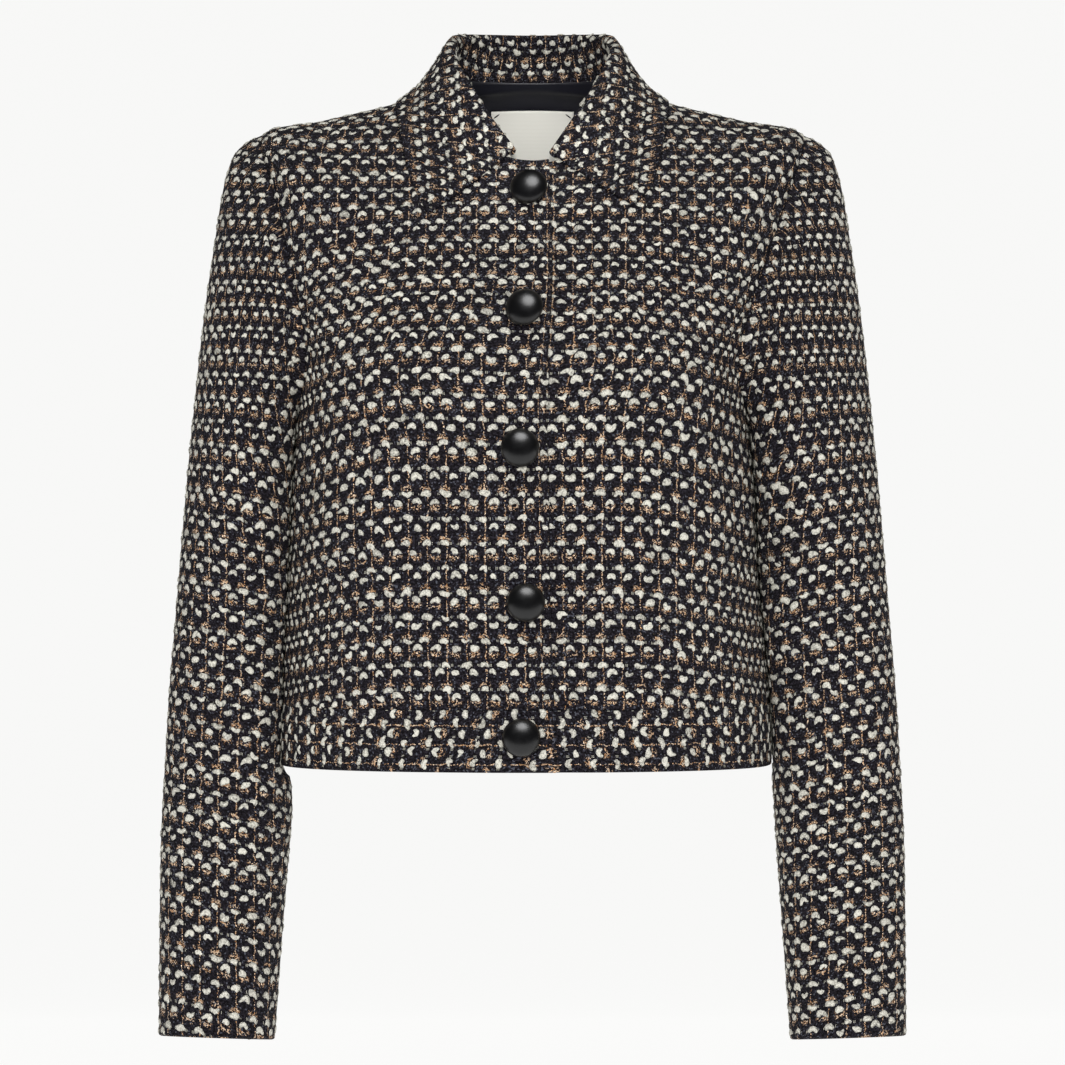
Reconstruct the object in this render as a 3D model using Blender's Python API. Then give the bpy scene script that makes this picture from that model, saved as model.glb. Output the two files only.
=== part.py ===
"""A cropped tweed jacket, worn and empty: the hollow form that its cut gives it on a general figure.

Metres, +Z up, the front faces -Y and the wearer's left side is +X. The origin lies midway between the two
points where the shoulder seams meet the neck, where the wearer carries the jacket.
The body is one set of rings from the neck seam down to the hem. The fronts, the back, the waistband and
the neck lining are cut from it, the sleeves start on its armholes, and the collar on its neck.
"""

import functools
import math

import bpy
import numpy as np

MM = 0.001

# Cloth, with the gap that sewn pieces keep
TWEED = 2.5 * MM
COLLAR_CLOTH = 3.0 * MM
LINING = 1.0 * MM
SEAM = 0.3 * MM
SIDE = math.pi / 2  # the ring angle of a side seam: 0 is the centre front, pi the centre back

# The body's rings, in mm. Each passes through its front, side and back points at their own heights.
# half_width, front, back, z_front, z_side, z_back, squareness, sway
BODY_RINGS = {
    "neck seam": (72, 57, 68, -49, 0, 14, 2.0, 0),
    "under the collar": (105, 72, 80, -66, -8.4, 2, 2.0, 0),
    "mid shoulder": (143, 88, 92, -88, -17.2, -26, 2.05, 0),
    "shoulder point": (181.5, 101, 100, -116, -26, -60, 2.15, 0),
    "upper chest": (180, 108, 103.5, -138, -58, -91, 2.25, -1),
    "mid chest": (173.5, 114, 104.5, -160, -95, -124, 2.3, -3),
    "low chest": (163, 118.5, 103.5, -182, -138, -158, 2.3, -5.2),
    "bust": (153, 121, 101, -205, -180, -190, 2.3, -7),
    "underarm": (152, 121.5, 98, -232, -220, -225, 2.3, -7),
    "under bust": (156, 119.5, 95, -276, -271, -272, 2.3, -6.5),
    "waist": (158, 116.5, 93.5, -326, -324, -323, 2.3, -6.5),
    "high hip": (162, 114.5, 96, -370, -369, -368, 2.3, -6),
    "band seam": (164.5, 114, 99, -410, -410, -410, 2.3, -5),
    "hem": (165.5, 113.5, 101, -450.5, -450.5, -450.5, 2.3, -4.7),
}
RING = {name: place for place, name in enumerate(BODY_RINGS)}
BODY_ROWS = np.array(list(BODY_RINGS.values()), float)

# The armhole, an egg seen from the side, in mm
ARMHOLE_TOP, ARMHOLE_BOTTOM = -26, -220
ARMHOLE_FRONT, ARMHOLE_BACK = 56, 53
ARMHOLE_EGG = 0.25  # how much wider it is below than above

# The front closing, in mm: how far the right front laps past the centre, and the left front under it
LAP_AT_NECK, LAP_AT_HEM = 11, 20
UNDER_LAP = 18
LAP_LIFT, LAP_SINK = 1.3, 1.6  # out of the body's form for the right front, into it for the left
LAP_RISE_FROM = -52  # where the right front starts to rise over the left one
LAP_SINK_KEPT, LAP_SINK_GONE = 6, 24  # past the right front's edge

# Soft folds of the body, in mm: where round the ring (degrees), how far they reach each way, how deep
# angle, angle_reach, z_middle, z_reach, depth, slant (degrees for each 100 mm down)
BODY_FOLDS = {
    "left front, armhole to waist": (62, 9, -265, 75, -3.2, 7),
    "right front, armhole to waist": (-62, 8, -262, 70, -2.8, -7),
    "left side, above the band": (66, 10, -380, 35, -2.4, 3),
    "right side, above the band": (-68, 9, -385, 32, -2.0, -3),
    "left back, below the blade": (128, 11, -270, 80, -2.8, -5),
    "right back, below the blade": (-126, 12, -280, 75, -2.6, 5),
}

# The sleeve's rings, in mm. Each hangs between a point on its outer line and one on its inner line.
# outer_z, inner_z, axis_y, front, back, armhole_share: how much of the armhole's own form it keeps
SLEEVE_RINGS = {
    "armhole": (-26, -220, 0, 56, 53, 1),
    "head": (-31, -222.5, 0, 57.5, 54.5, 0.74),
    "head roll": (-38.5, -227, 0, 59.5, 56.5, 0.48),
    "below the head": (-51, -233, 0.5, 61.5, 58, 0.28),
    "cap": (-70, -240, 1, 62.5, 59, 0.14),
    "low cap": (-98, -249, 2, 62.5, 60, 0.05),
    "upper arm": (-130, -260, 3, 62, 60, 0),
    "arm": (-165, -274, 4, 61, 59.5, 0),
    "mid arm": (-205, -292, 5, 59.5, 58.5, 0),
    "above elbow": (-250, -318, 6, 57, 57, 0),
    "elbow": (-300, -352, 6, 54, 54.5, 0),
    "below elbow": (-352, -388, 4, 51.5, 52, 0),
    "forearm": (-400, -420, 1.5, 49.5, 49.5, 0),
    "at the hem": (-445, -452, -3, 48, 48, 0),
    "below the hem": (-500, -502, -9, 46, 46.5, 0),
    "above the cuff": (-565, -566.5, -17.5, 44, 44.5, 0),
    "cuff": (-629.5, -632, -26, 42, 43, 0),
}
# x, z of the sleeve's outline from the front; above the hem the inner line sways with the body
SLEEVE_OUTER = [
    (181.7, -26), (192.2, -31), (200.3, -38.5), (205.5, -51), (208.9, -64), (213, -90), (217.2, -117),
    (222, -149), (228, -205), (234.6, -270), (239.5, -333), (245.5, -407), (249.8, -502), (250, -566),
    (249.7, -630),
]  # fmt: skip
SLEEVE_INNER = [
    (152, -220), (151.5, -227), (151, -240), (152, -290), (154.5, -350), (158, -410), (161, -455),
    (164, -502), (168.8, -576), (172.6, -632),
]  # fmt: skip
SLEEVE_SQUARENESS = 2.15
BODY_CLEAR = 2.6  # the least room between a sleeve and the body, in mm
HEM_EASE = (-457, -486)  # heights between which the sleeve eases back in below the hem
ARMPIT_EASE = (-221, -215)  # heights between which it starts to clear the body, below the armhole
SLEEVE_HEART_X = 205  # the line that the sleeve's folds sink towards
SLEEVE_START, COLLAR_START = 1.2 * SEAM, 2.2 * SEAM  # how far each starts off the edge that it is sewn to
COLLAR_RISE = 1.0  # the collar's seam lies this much above the neck's, in mm
ARMHOLE_STEPS = 13  # from the shoulder point to the underarm, shared by the panels and the sleeve
SLEEVE_SEAM_STEP = 9  # where the sleeve's two seams meet the armhole, front and back
# Soft folds of a sleeve: angle (0 outside, 90 front), angle_reach, z_middle, z_reach, depth, slant
SLEEVE_FOLDS = {
    "front of the elbow": (96, 26, -352, 13, -2.6, 90),
    "inside of the elbow": (130, 30, -318, 12, -2.2, 120),
    "below the elbow": (70, 30, -392, 14, -1.8, 60),
    "back of the arm": (262, 18, -250, 60, -2.4, 6),
    "armpit, front": (118, 14, -215, 42, -3.0, -8),
}

# The collar, in mm, for one half from the centre back to its front end. Its fold is the top of the roll,
# and its edge is the outer surface there.
# seam_angle, fold_x, fold_y, fold_z, edge_x, edge_y, edge_z
COLLAR_STATIONS = {
    "centre back": (180, 0, 61, 48, 0, 86, 4),
    "back": (150, 30, 56, 48, 42, 79, 2.5),
    "back corner": (125, 46, 39, 47.5, 69, 58, -0.5),
    "behind the shoulder": (105, 51.5, 22, 44, 84, 34, -3),
    "shoulder": (86, 53.5, 3, 36.5, 91.5, 8, -5.5),
    "before the shoulder": (67, 51.5, -15.5, 25.5, 93, -17, -8.5),
    "side of the neck": (50, 45, -31, 11.5, 89.5, -40, -19.5),
    "upper leaf": (36, 36, -42.5, -4, 85.5, -58, -41),
    "lower leaf": (24, 25.5, -51, -21, 79.5, -72, -65),
    "front end": (14.5, 10.8, -60.5, -43, 68.6, -86, -87),
}
LEFT_LEAF_POINT = (66.8, -83, -81.5)  # the wearer's left leaf lies a little shorter
RIGHT_FOLD_END = (10.5, -61.2, -41.6)  # on the right front, which laps on top
FOLD_RADIUS = 2.4
# The fall's curve, as shares of its length: how far it drops off the fold, bends before the edge, hollows
FALL_DROP, FALL_BEND, FALL_HOLLOW = 0.28, 0.3, 0.1
LEAF_CLEAR = 0.9  # under the fall, above the body

# Inside the back neck: the lining takes rows and columns of the back's own grid
LINING_ROWS, LINING_COLUMNS = 5, 8
LABEL_WIDTH, LABEL_HEIGHT, LABEL_DROP = 59 * MM, 42 * MM, 19.3 * MM
LABEL_GAP = 0.7 * MM
LABEL_ROWS, LABEL_COLUMNS = 4, 6

# The buttons from the neck to the waistband: x and z of the seat, in mm, and how far the button leans on its
# shank off the cloth's own outward line, up and to the wearer's right, in degrees
BUTTONS = (
    (-1.3, -71.1, -12, 14), (-4.1, -150.7, 6, 14), (-8.1, -239.6, 0, 0), (-4.4, -339.7, 0, 0),
    (-7.3, -427.4, 0, 0),
)  # fmt: skip
BUTTON_RADIUS, BUTTON_RISE, BUTTON_SHANK = 12.6 * MM, 8.6 * MM, 3.4 * MM
BUTTON_OFF, BUTTON_UNDERSIDE = 0.3 * MM, 2.0 * MM  # heights above the cloth, where it doesn't lean
BUTTON_RIM = 1.4 * MM  # above the underside
BUTTON_SIDES, DOME_STEPS = 20, 4
BAND_PROUD = 0.4 * MM


def along(rows, place):
    """The rows' columns at a place between them, smooth through each row."""
    last = len(rows) - 1
    i = min(max(int(math.floor(place)), 0), last - 1)
    f = place - i
    b, c = rows[i], rows[i + 1]
    a = rows[i - 1] if i > 0 else 2 * b - c
    d = rows[i + 2] if i + 2 <= last else 2 * c - b
    return b + 0.5 * f * (c - a + f * (2 * a - 5 * b + 4 * c - d + f * (3 * (b - c) + d - a)))


def smooth(low, high, value):
    """0 at low, 1 at high, and an even rise between them."""
    f = min(max((value - low) / (high - low), 0.0), 1.0)
    return f * f * (3 - 2 * f)


def unit(vector):
    return vector / np.linalg.norm(vector)


def oval(angle, squareness):
    """Across and ahead on a unit ring: a circle at squareness 2, squarer above it."""
    across, ahead = math.sin(angle), math.cos(angle)
    size = (abs(across) ** squareness + abs(ahead) ** squareness) ** (-1 / squareness)
    return across * size, ahead * size


def fold_depth(folds, angle, z):
    """How far the soft folds move the cloth out at a ring angle in degrees and a height in mm."""
    total = 0.0
    for middle, reach, z_middle, z_reach, depth, slant in folds.values():
        down = (z_middle - z) / 100
        off = ((angle - middle - slant * down + 180) % 360 - 180) / reach
        total += depth * math.exp(-off * off - ((z - z_middle) / z_reach) ** 2)
    return total


# ---- the body's form ----


def body_form(angle, place):
    """The body's outer surface, before folds, in mm."""
    half, front, back, z_front, z_side, z_back, squareness, sway = along(BODY_ROWS, place)
    across, ahead = oval(angle, squareness)
    level = math.cos(angle) ** 2
    if ahead > 0:
        return np.array((sway + half * across, -front * ahead, z_side + (z_front - z_side) * level))
    return np.array((sway + half * across, -back * ahead, z_side + (z_back - z_side) * level))


def out_of(form, angle, place, step=1e-3):
    """The unit normal of a form that takes an angle and a place, pointing out of the body."""
    round_it = form(angle + step, place) - form(angle - step, place)
    down_it = form(angle, place + step) - form(angle, place - step)
    return unit(np.cross(down_it, round_it))


def body_surface(angle, place, lift=0.0):
    """The body's outer surface with its folds, moved out by lift, in mm."""
    point = body_form(angle, place)
    depth = fold_depth(BODY_FOLDS, math.degrees(angle), point[2]) + lift
    return point + depth * out_of(body_form, angle, place)


def find(function, target, low, high, turns=32):
    """Where a function that falls between low and high passes the target."""
    for _ in range(turns):
        middle = (low + high) / 2
        if function(middle) > target:
            low = middle
        else:
            high = middle
    return (low + high) / 2


def angle_at_depth(place, depth, behind):
    """The ring angle, on the wearer's left, where the ring passes a depth before or behind the side seam."""
    _, front, back, *_, squareness, _ = along(BODY_ROWS, place)
    full = back if behind else front
    angle = math.atan(max((full / depth) ** squareness - 1, 0) ** (1 / squareness))
    return math.pi - angle if behind else angle


@functools.cache
def armhole(turn):
    """The armhole's ring angle and place: turn 0 is the shoulder point, pi/2 the front, pi the underarm."""
    middle, half = (ARMHOLE_TOP + ARMHOLE_BOTTOM) / 2, (ARMHOLE_TOP - ARMHOLE_BOTTOM) / 2
    z = middle + half * math.cos(turn)
    behind = math.sin(turn) < 0
    full = ARMHOLE_BACK if behind else ARMHOLE_FRONT
    depth = full * abs(math.sin(turn)) * (1 - ARMHOLE_EGG * math.cos(turn))
    if depth < 1e-6:
        return SIDE, float(RING["shoulder point"] if math.cos(turn) > 0 else RING["underarm"])

    def height(place):
        return body_form(angle_at_depth(place, depth, behind), place)[2]

    place = find(height, z, RING["mid shoulder"], RING["under bust"])
    return angle_at_depth(place, depth, behind), place


# ---- walls of cloth ----


def plain_material(name, colour, roughness):
    material = bpy.data.materials.new(name)
    material.use_nodes = True
    shader = material.node_tree.nodes["Principled BSDF"]
    shader.inputs["Base Color"].default_value = (*colour, 1)
    shader.inputs["Roughness"].default_value = roughness
    return material


def new_object(name, points, faces, material):
    """One named object, in metres, from points in metres."""
    mesh = bpy.data.meshes.new(name)
    mesh.from_pydata([tuple(map(float, p)) for p in points], [], faces)
    mesh.materials.append(material)
    mesh.shade_smooth()
    mesh.set_sharp_from_angle(angle=math.radians(40))
    mesh.update()
    thing = bpy.data.objects.new(name, mesh)
    bpy.context.scene.collection.objects.link(thing)
    return thing


def wall(name, outer, inner, material):
    """A closed wall between two grids of points, in mm, whose rows run left to right as seen from outside."""
    rows, columns = outer.shape[:2]
    size = rows * columns
    points = np.concatenate((outer.reshape(-1, 3), inner.reshape(-1, 3))) * MM

    def at(j, i):
        return j * columns + i

    faces = []
    for j in range(rows - 1):
        for i in range(columns - 1):
            a, b, c, d = at(j, i), at(j + 1, i), at(j + 1, i + 1), at(j, i + 1)
            for face in ((a, b, c), (a, c, d)):  # cut the same way inside, so that layers stay parallel
                faces.append(face)
                faces.append(tuple(size + k for k in reversed(face)))
    border = [at(0, i) for i in range(columns)] + [at(j, columns - 1) for j in range(1, rows)]
    border += [at(rows - 1, i) for i in range(columns - 2, -1, -1)]
    border += [at(j, 0) for j in range(rows - 2, 0, -1)]
    for a, b in zip(border, border[1:] + border[:1]):
        faces.append((a, b, size + b, size + a))
    return new_object(name, points, faces, material)


def body_wall(name, places, angles, thickness, material, lift=None, depth=0.0):
    """A wall cut from the body: places and angles are grids, and lift(angle, place) moves it out."""
    outer, inner = (np.zeros((*places.shape, 3)) for _ in range(2))
    for j, i in np.ndindex(*places.shape):
        angle, place = angles[j, i], places[j, i]
        out = (lift(angle, place) if lift else 0.0) - depth / MM
        normal = out_of(body_form, angle, place)
        outer[j, i] = body_surface(angle, place, out)
        inner[j, i] = outer[j, i] - normal * thickness / MM
    return wall(name, outer, inner, material)


# ---- fronts, back and waistband ----


def centre_offset(angle, place):
    """How far a point of the front lies from the centre front, towards the wearer's left, in mm."""
    return body_form(angle, place)[0] - along(BODY_ROWS, place)[7]


def lap_edge(place):
    """The right front's edge, past the centre front, in mm."""
    return LAP_AT_NECK + (LAP_AT_HEM - LAP_AT_NECK) * place / RING["hem"]


def lap_angle(place, offset):
    """The ring angle that lies offset past the centre front."""
    half, *_, squareness, _ = along(BODY_ROWS, place)
    share = (abs(offset) / half) ** squareness
    return math.copysign(math.atan((share / (1 - share)) ** (1 / squareness)), offset)


def over_lap(angle, place):
    """The right front rises over the left one where they lap."""
    return LAP_LIFT * smooth(LAP_RISE_FROM, -UNDER_LAP - 2, centre_offset(angle, place))


def under_lap(angle, place):
    """The left front sinks under the right one."""
    edge = lap_edge(place)
    return -LAP_SINK * (1 - smooth(edge + LAP_SINK_KEPT, edge + LAP_SINK_GONE, centre_offset(angle, place)))


SHOULDER_STEPS, SIDE_STEPS = 4, 6


def outer_edge(behind):
    """Ring angles and places down a panel's outer edge: shoulder seam, armhole and side seam."""
    shoulder = [(SIDE, p) for p in np.linspace(0, RING["shoulder point"], SHOULDER_STEPS + 1)[:-1]]
    turns = [(-k if behind else k) * math.pi / ARMHOLE_STEPS for k in range(ARMHOLE_STEPS + 1)]
    side = [(SIDE, p) for p in np.linspace(RING["underarm"], RING["band seam"], SIDE_STEPS + 1)[1:]]
    edge = shoulder + [armhole(turn) for turn in turns] + side
    return [seam_gap(angle, place, behind) for angle, place in edge]


def seam_gap(angle, place, behind):
    """Half a seam's gap off the side or shoulder seam, where the edge lies on it."""
    if abs(angle - SIDE) > 1e-6:
        return angle, place
    half_gap = SEAM / MM / 2 / along(BODY_ROWS, place)[2 if behind else 1]
    return (SIDE + half_gap if behind else SIDE - half_gap), place


def panel_grid(edge, columns, start_angle, mirrored):
    """Places and angles of a panel's grid from its centre line, at start_angle(place), to its outer edge."""
    rows = len(edge)
    even = np.linspace(0, edge[-1][1], rows)
    places, angles = (np.zeros((rows, columns + 1)) for _ in range(2))
    for j, (edge_angle, edge_place) in enumerate(edge):
        for i, share in enumerate(np.linspace(0, 1, columns + 1)):
            place = even[j] + (edge_place - even[j]) * share**2
            start = start_angle(place)
            places[j, i] = place
            angles[j, i] = start + (edge_angle - start) * share
    if mirrored:
        return places[:, ::-1], -angles[:, ::-1]
    return places, angles


FRONT_COLUMNS, BACK_COLUMNS, BAND_ROWS = 14, 13, 2


def band_places(columns):
    gap = SEAM / MM / abs(BODY_RINGS["hem"][3] - BODY_RINGS["band seam"][3])
    rows = np.linspace(RING["band seam"] + gap, RING["hem"], BAND_ROWS + 1)
    return np.repeat(rows[:, None], columns + 1, axis=1)


def band_piece(name, start, end, columns, material, lift=None):
    """A waistband piece between two ring angles, each a function of the place."""
    places = band_places(columns)
    angles = np.zeros_like(places)
    for j, row in enumerate(places):
        angles[j] = np.linspace(start(row[0]), end(row[0]), columns + 1)

    def proud(angle, place):
        return BAND_PROUD / MM + (lift(angle, place) if lift else 0.0)

    return body_wall(name, places, angles, TWEED, material, proud)


def make_body(tweed):
    front_edge, back_edge = outer_edge(False), outer_edge(True)

    def lap_start(place):
        return lap_angle(place, -lap_edge(place))

    def under_start(place):
        return lap_angle(place, -UNDER_LAP)

    places, angles = panel_grid(front_edge, FRONT_COLUMNS, lap_start, True)
    body_wall("right_front", places, angles, TWEED, tweed, over_lap)
    places, angles = panel_grid(front_edge, FRONT_COLUMNS, under_start, False)
    body_wall("left_front", places, angles, TWEED, tweed, under_lap)

    left_places, left_angles = panel_grid(back_edge, BACK_COLUMNS, lambda place: math.pi, False)
    places = np.concatenate((left_places[:, ::-1], left_places[:, 1:]), axis=1)
    angles = np.concatenate((left_angles[:, ::-1], 2 * math.pi - left_angles[:, 1:]), axis=1)
    body_wall("back", places, angles, TWEED, tweed)
    back_grid = places, angles

    def side_front(place):
        return seam_gap(SIDE, place, False)[0]

    def side_back(place):
        return seam_gap(SIDE, place, True)[0]

    right_side, right_edge = (lambda p: -side_front(p)), (lambda p: -lap_start(p))
    band_piece("right_front_band", right_side, right_edge, FRONT_COLUMNS, tweed, over_lap)
    band_piece("left_front_band", under_start, side_front, FRONT_COLUMNS, tweed, under_lap)
    band_piece("back_band", side_back, lambda p: 2 * math.pi - side_back(p), 2 * BACK_COLUMNS, tweed)
    return back_grid


# ---- sleeves ----


def body_row_at(z):
    """The body's ring whose side point is at a height."""
    return along(BODY_ROWS, float(np.interp(-z, -BODY_ROWS[:, 4], range(len(BODY_ROWS)))))


def x_at_z(outline, z):
    """The x of an outline that runs down, at a height."""
    points = np.asarray(outline, float)
    return float(np.interp(-z, -points[:, 1], points[:, 0]))


@functools.cache
def armhole_start(turn, side):
    """The sleeve's first point, a seam's gap off the armhole's edge, and the way off the panel there."""
    angle, place = armhole(turn)
    edge = body_surface(side * angle, place)
    step = 0.01
    next_angle, next_place = armhole(turn + step)
    before_angle, before_place = armhole(turn - step)
    run = body_form(side * next_angle, next_place) - body_form(side * before_angle, before_place)
    off = unit(np.cross(out_of(body_form, side * angle, place), run))
    middle = np.array((edge[0], 0.0, (ARMHOLE_TOP + ARMHOLE_BOTTOM) / 2))
    if np.dot(off, middle - edge) < 0:
        off = -off
    return edge + off * SLEEVE_START / MM, off


SLEEVE_ROWS = np.array(list(SLEEVE_RINGS.values()), float)


def sleeve_column(turn, side):
    """One line down the sleeve, as a point on each of its rings, in mm."""
    tops, bottoms = [], []
    for outer_z, inner_z, axis_y, *_ in SLEEVE_ROWS:
        sway = body_row_at(inner_z)[7] * (1 - smooth(*HEM_EASE, inner_z))
        tops.append(np.array((side * x_at_z(SLEEVE_OUTER, outer_z), axis_y, outer_z)))
        bottoms.append(np.array((side * x_at_z(SLEEVE_INNER, inner_z) + sway, axis_y, inner_z)))
    axis = [(top + bottom) / 2 for top, bottom in zip(tops, bottoms)]
    column, armhole_form = [], None
    for k, (*_, front, back, share) in enumerate(SLEEVE_ROWS):
        run = axis[min(k + 1, len(axis) - 1)] - axis[max(k - 1, 0)]
        back_way = unit(np.array((0.0, -run[2], run[1])))
        across, ahead = oval(turn, SLEEVE_SQUARENESS)
        depth = front if across > 0 else back
        point = axis[k] + (tops[k] - bottoms[k]) / 2 * ahead - back_way * across * depth
        if k == 0:
            start = armhole_start(turn, side)[0]
            armhole_form = start - point
        column.append(point + share * armhole_form)
    return np.array(column)


def clear_of_body(point, side):
    """The point moved out to the side of the body where it would touch it."""
    x, y, z = point
    if z > ARMPIT_EASE[1]:
        return point
    half, front, back, *_, squareness, sway = body_row_at(z)
    share = min(abs(y) / (front if y < 0 else back), 1.0)
    edge = half * (1 - share**squareness) ** (1 / squareness) + side * sway + BODY_CLEAR
    edge -= half * (smooth(*HEM_EASE, z) + smooth(*ARMPIT_EASE, z)) / 3
    out = (side * x + edge + math.hypot(side * x - edge, 2)) / 2  # the larger of the two, rounded over 2 mm
    return np.array((side * out, y, z))


def sleeve_surface(column, turn, place, side):
    point = along(column, place)
    turn_degrees = math.degrees(turn) % 360
    depth = fold_depth(SLEEVE_FOLDS, turn_degrees, point[2]) * smooth(3, 6, place)
    centre = np.array((side * SLEEVE_HEART_X, 0.0, point[2]))
    return clear_of_body(point + depth * unit(point - centre), side)


SLEEVE_PLACES = (
    0, 0.5, 1, 1.6, 2.2, 3, 3.8, 4.7, 5.6, 6.5, 7.4, 8.2, 9, 9.7, 10.4, 11.2, 12, 12.7, 13.12, 13.45, 13.8,
    14.4, 15, 16,
)  # fmt: skip


def sleeve_piece(name, first, last, side, material):
    """A sleeve piece between two of the armhole's steps, half a seam's gap inside each."""
    columns = last - first
    turns = [k * math.pi / ARMHOLE_STEPS for k in range(first, last + 1)]
    outer, inner = (np.zeros((len(SLEEVE_PLACES), columns + 1, 3)) for _ in range(2))
    step = 0.01
    for i, turn in enumerate(turns):
        inset = {0: 1, columns: -1}.get(i, 0)
        middle, before, after = (sleeve_column(turn + s, side) for s in (0, -step, step))
        for j, place in enumerate(SLEEVE_PLACES):
            point = sleeve_surface(middle, turn, place, side)
            ahead = sleeve_surface(after, turn + step, place, side)
            round_it = ahead - sleeve_surface(before, turn - step, place, side)
            below = sleeve_surface(middle, turn, min(place + step, SLEEVE_PLACES[-1]), side)
            down_it = below - sleeve_surface(middle, turn, max(place - step, 0), side)
            normal = -side * unit(np.cross(down_it, round_it))
            if j == 0:  # the sleeve's end doesn't lean into the panel
                off = armhole_start(turn, side)[1]
                normal = unit(normal - off * max(np.dot(normal, off), 0))
            outer[j, i] = point + inset * side * unit(np.cross(down_it, normal)) * SEAM / MM / 2
            inner[j, i] = outer[j, i] - normal * TWEED / MM
    if side > 0:
        outer, inner = outer[:, ::-1], inner[:, ::-1]
    return wall(name, outer, inner, material)


def make_sleeves(tweed):
    seam = SLEEVE_SEAM_STEP
    for side, word in ((-1, "right"), (1, "left")):
        sleeve_piece(f"{word}_upper_sleeve", -seam, seam, side, tweed)
        sleeve_piece(f"{word}_under_sleeve", seam, 2 * ARMHOLE_STEPS - seam, side, tweed)


# ---- collar ----


def cloth_point(angle, place):
    """The outer surface where the right front laps over the left one."""
    ahead = abs(angle) < SIDE
    lapped = ahead and centre_offset(angle, place) > lap_edge(place)
    lift = (under_lap if lapped else over_lap)(angle, place) if ahead else 0.0
    return body_surface(angle, place, lift)


def body_samples():
    """Points and normals all over the body's upper part, for what lies on it."""
    angles = np.linspace(-math.pi, math.pi, 145)
    places = np.linspace(0, 4, 61)
    points = np.array([[cloth_point(a, p) for a in angles] for p in places])
    normals = np.array([[out_of(body_form, a, p) for a in angles] for p in places])
    return points.reshape(-1, 3), normals.reshape(-1, 3)


def off_body(point, room, samples):
    """The point moved out so that it stands at least room off the body."""
    points, normals = samples
    near = int(np.argmin(((points - point) ** 2).sum(axis=1)))
    height = float(np.dot(point - points[near], normals[near]))
    return point + normals[near] * max(room - height, 0.0)


def bezier(a, b, c, d, f):
    g = 1 - f
    return g**3 * a + 3 * g * g * f * b + 3 * g * f * f * c + f**3 * d


STAND_STEPS, ROLL_STEPS, FALL_STEPS = 3, 4, 5
COLLAR_COLUMNS = 34


def collar_station(share):
    """Seam angle, fold and edge of the collar at a share from -1, the wearer's right end, to 1."""
    rows = [list(row) for row in COLLAR_STATIONS.values()]
    if share > 0:
        rows[-1][4:] = LEFT_LEAF_POINT
    else:
        rows[-1][1:4] = RIGHT_FOLD_END
    place = abs(share) * (len(rows) - 1)
    if place < 1:  # the other half's first row keeps the centre back smooth
        mirror = list(rows[1])
        mirror[0] = 2 * rows[0][0] - mirror[0]
        mirror[1], mirror[4] = -mirror[1], -mirror[4]
        rows, place = [mirror] + rows, place + 1
    row = along(np.array(rows, float), place)
    side = 1 if share > 0 else -1
    flip = np.array((side, 1, 1))
    return side * math.radians(row[0]), row[1:4] * flip, row[4:7] * flip


def collar_path(share, samples):
    """The collar's section: points of its middle surface from the neck seam over the fold to the edge."""
    angle, fold, edge = collar_station(share)
    step = 0.01
    ahead, behind = collar_station(min(share + step, 1))[1], collar_station(max(share - step, -1))[1]
    run = unit(ahead - behind)
    thick = COLLAR_CLOTH / MM
    neck = cloth_point(angle, 0)
    off = unit(neck - cloth_point(angle, 0.05))
    inward = unit(np.array((-neck[0], -neck[1], 0.0)))
    seam = neck + off * COLLAR_START / MM + inward * thick / 2 + np.array((0, 0, COLLAR_RISE))
    apex = unit(unit(fold - seam) + unit(fold - edge))
    apex = unit(apex - run * np.dot(apex, run))
    out = np.cross(run, apex)
    if np.dot(out, edge - seam) < 0:
        out = -out
    heart = fold - apex * (FOLD_RADIUS + thick / 2)
    stand_top, fall_top = heart - out * FOLD_RADIUS, heart + out * FOLD_RADIUS
    edge = off_body(edge, LEAF_CLEAR + thick / 2, samples)
    points = []
    rise = np.linalg.norm(stand_top - seam)
    for f in np.linspace(0, 1, STAND_STEPS + 1)[:-1]:
        lean, upright = seam + (stand_top - seam) * 0.3, stand_top - apex * rise * 0.3
        points.append(bezier(seam, lean, upright, stand_top, f))
    for turn in np.linspace(0, math.pi, ROLL_STEPS + 1):
        points.append(heart + FOLD_RADIUS * (apex * math.sin(turn) - out * math.cos(turn)))
    fall = np.linalg.norm(edge - fall_top)
    lift = unit(edge - seam + np.array((0, 0, 40.0)))
    for f in np.linspace(0, 1, FALL_STEPS + 1)[1:]:
        bend = edge + (fall_top - edge) * FALL_BEND - lift * fall * FALL_HOLLOW
        point = bezier(fall_top, fall_top - apex * fall * FALL_DROP, bend, edge, f)
        points.append(off_body(point, LEAF_CLEAR + thick / 2, samples))
    return np.array(points)


def make_collar(tweed):
    samples = body_samples()
    shares = np.linspace(-1, 1, COLLAR_COLUMNS + 1)
    middle = np.array([collar_path(share, samples) for share in shares])
    over, under = np.zeros_like(middle), np.zeros_like(middle)
    columns, rows = middle.shape[:2]
    for i in range(columns):
        for j in range(rows):
            around = middle[min(i + 1, columns - 1), j] - middle[max(i - 1, 0), j]
            down = middle[i, min(j + 1, rows - 1)] - middle[i, max(j - 1, 0)]
            normal = unit(np.cross(around, down))
            over[i, j] = middle[i, j] + normal * COLLAR_CLOTH / MM / 2
            under[i, j] = middle[i, j] - normal * COLLAR_CLOTH / MM / 2
    return wall("collar", over.transpose(1, 0, 2)[:, ::-1], under.transpose(1, 0, 2)[:, ::-1], tweed)


# ---- inside the neck ----


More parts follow.
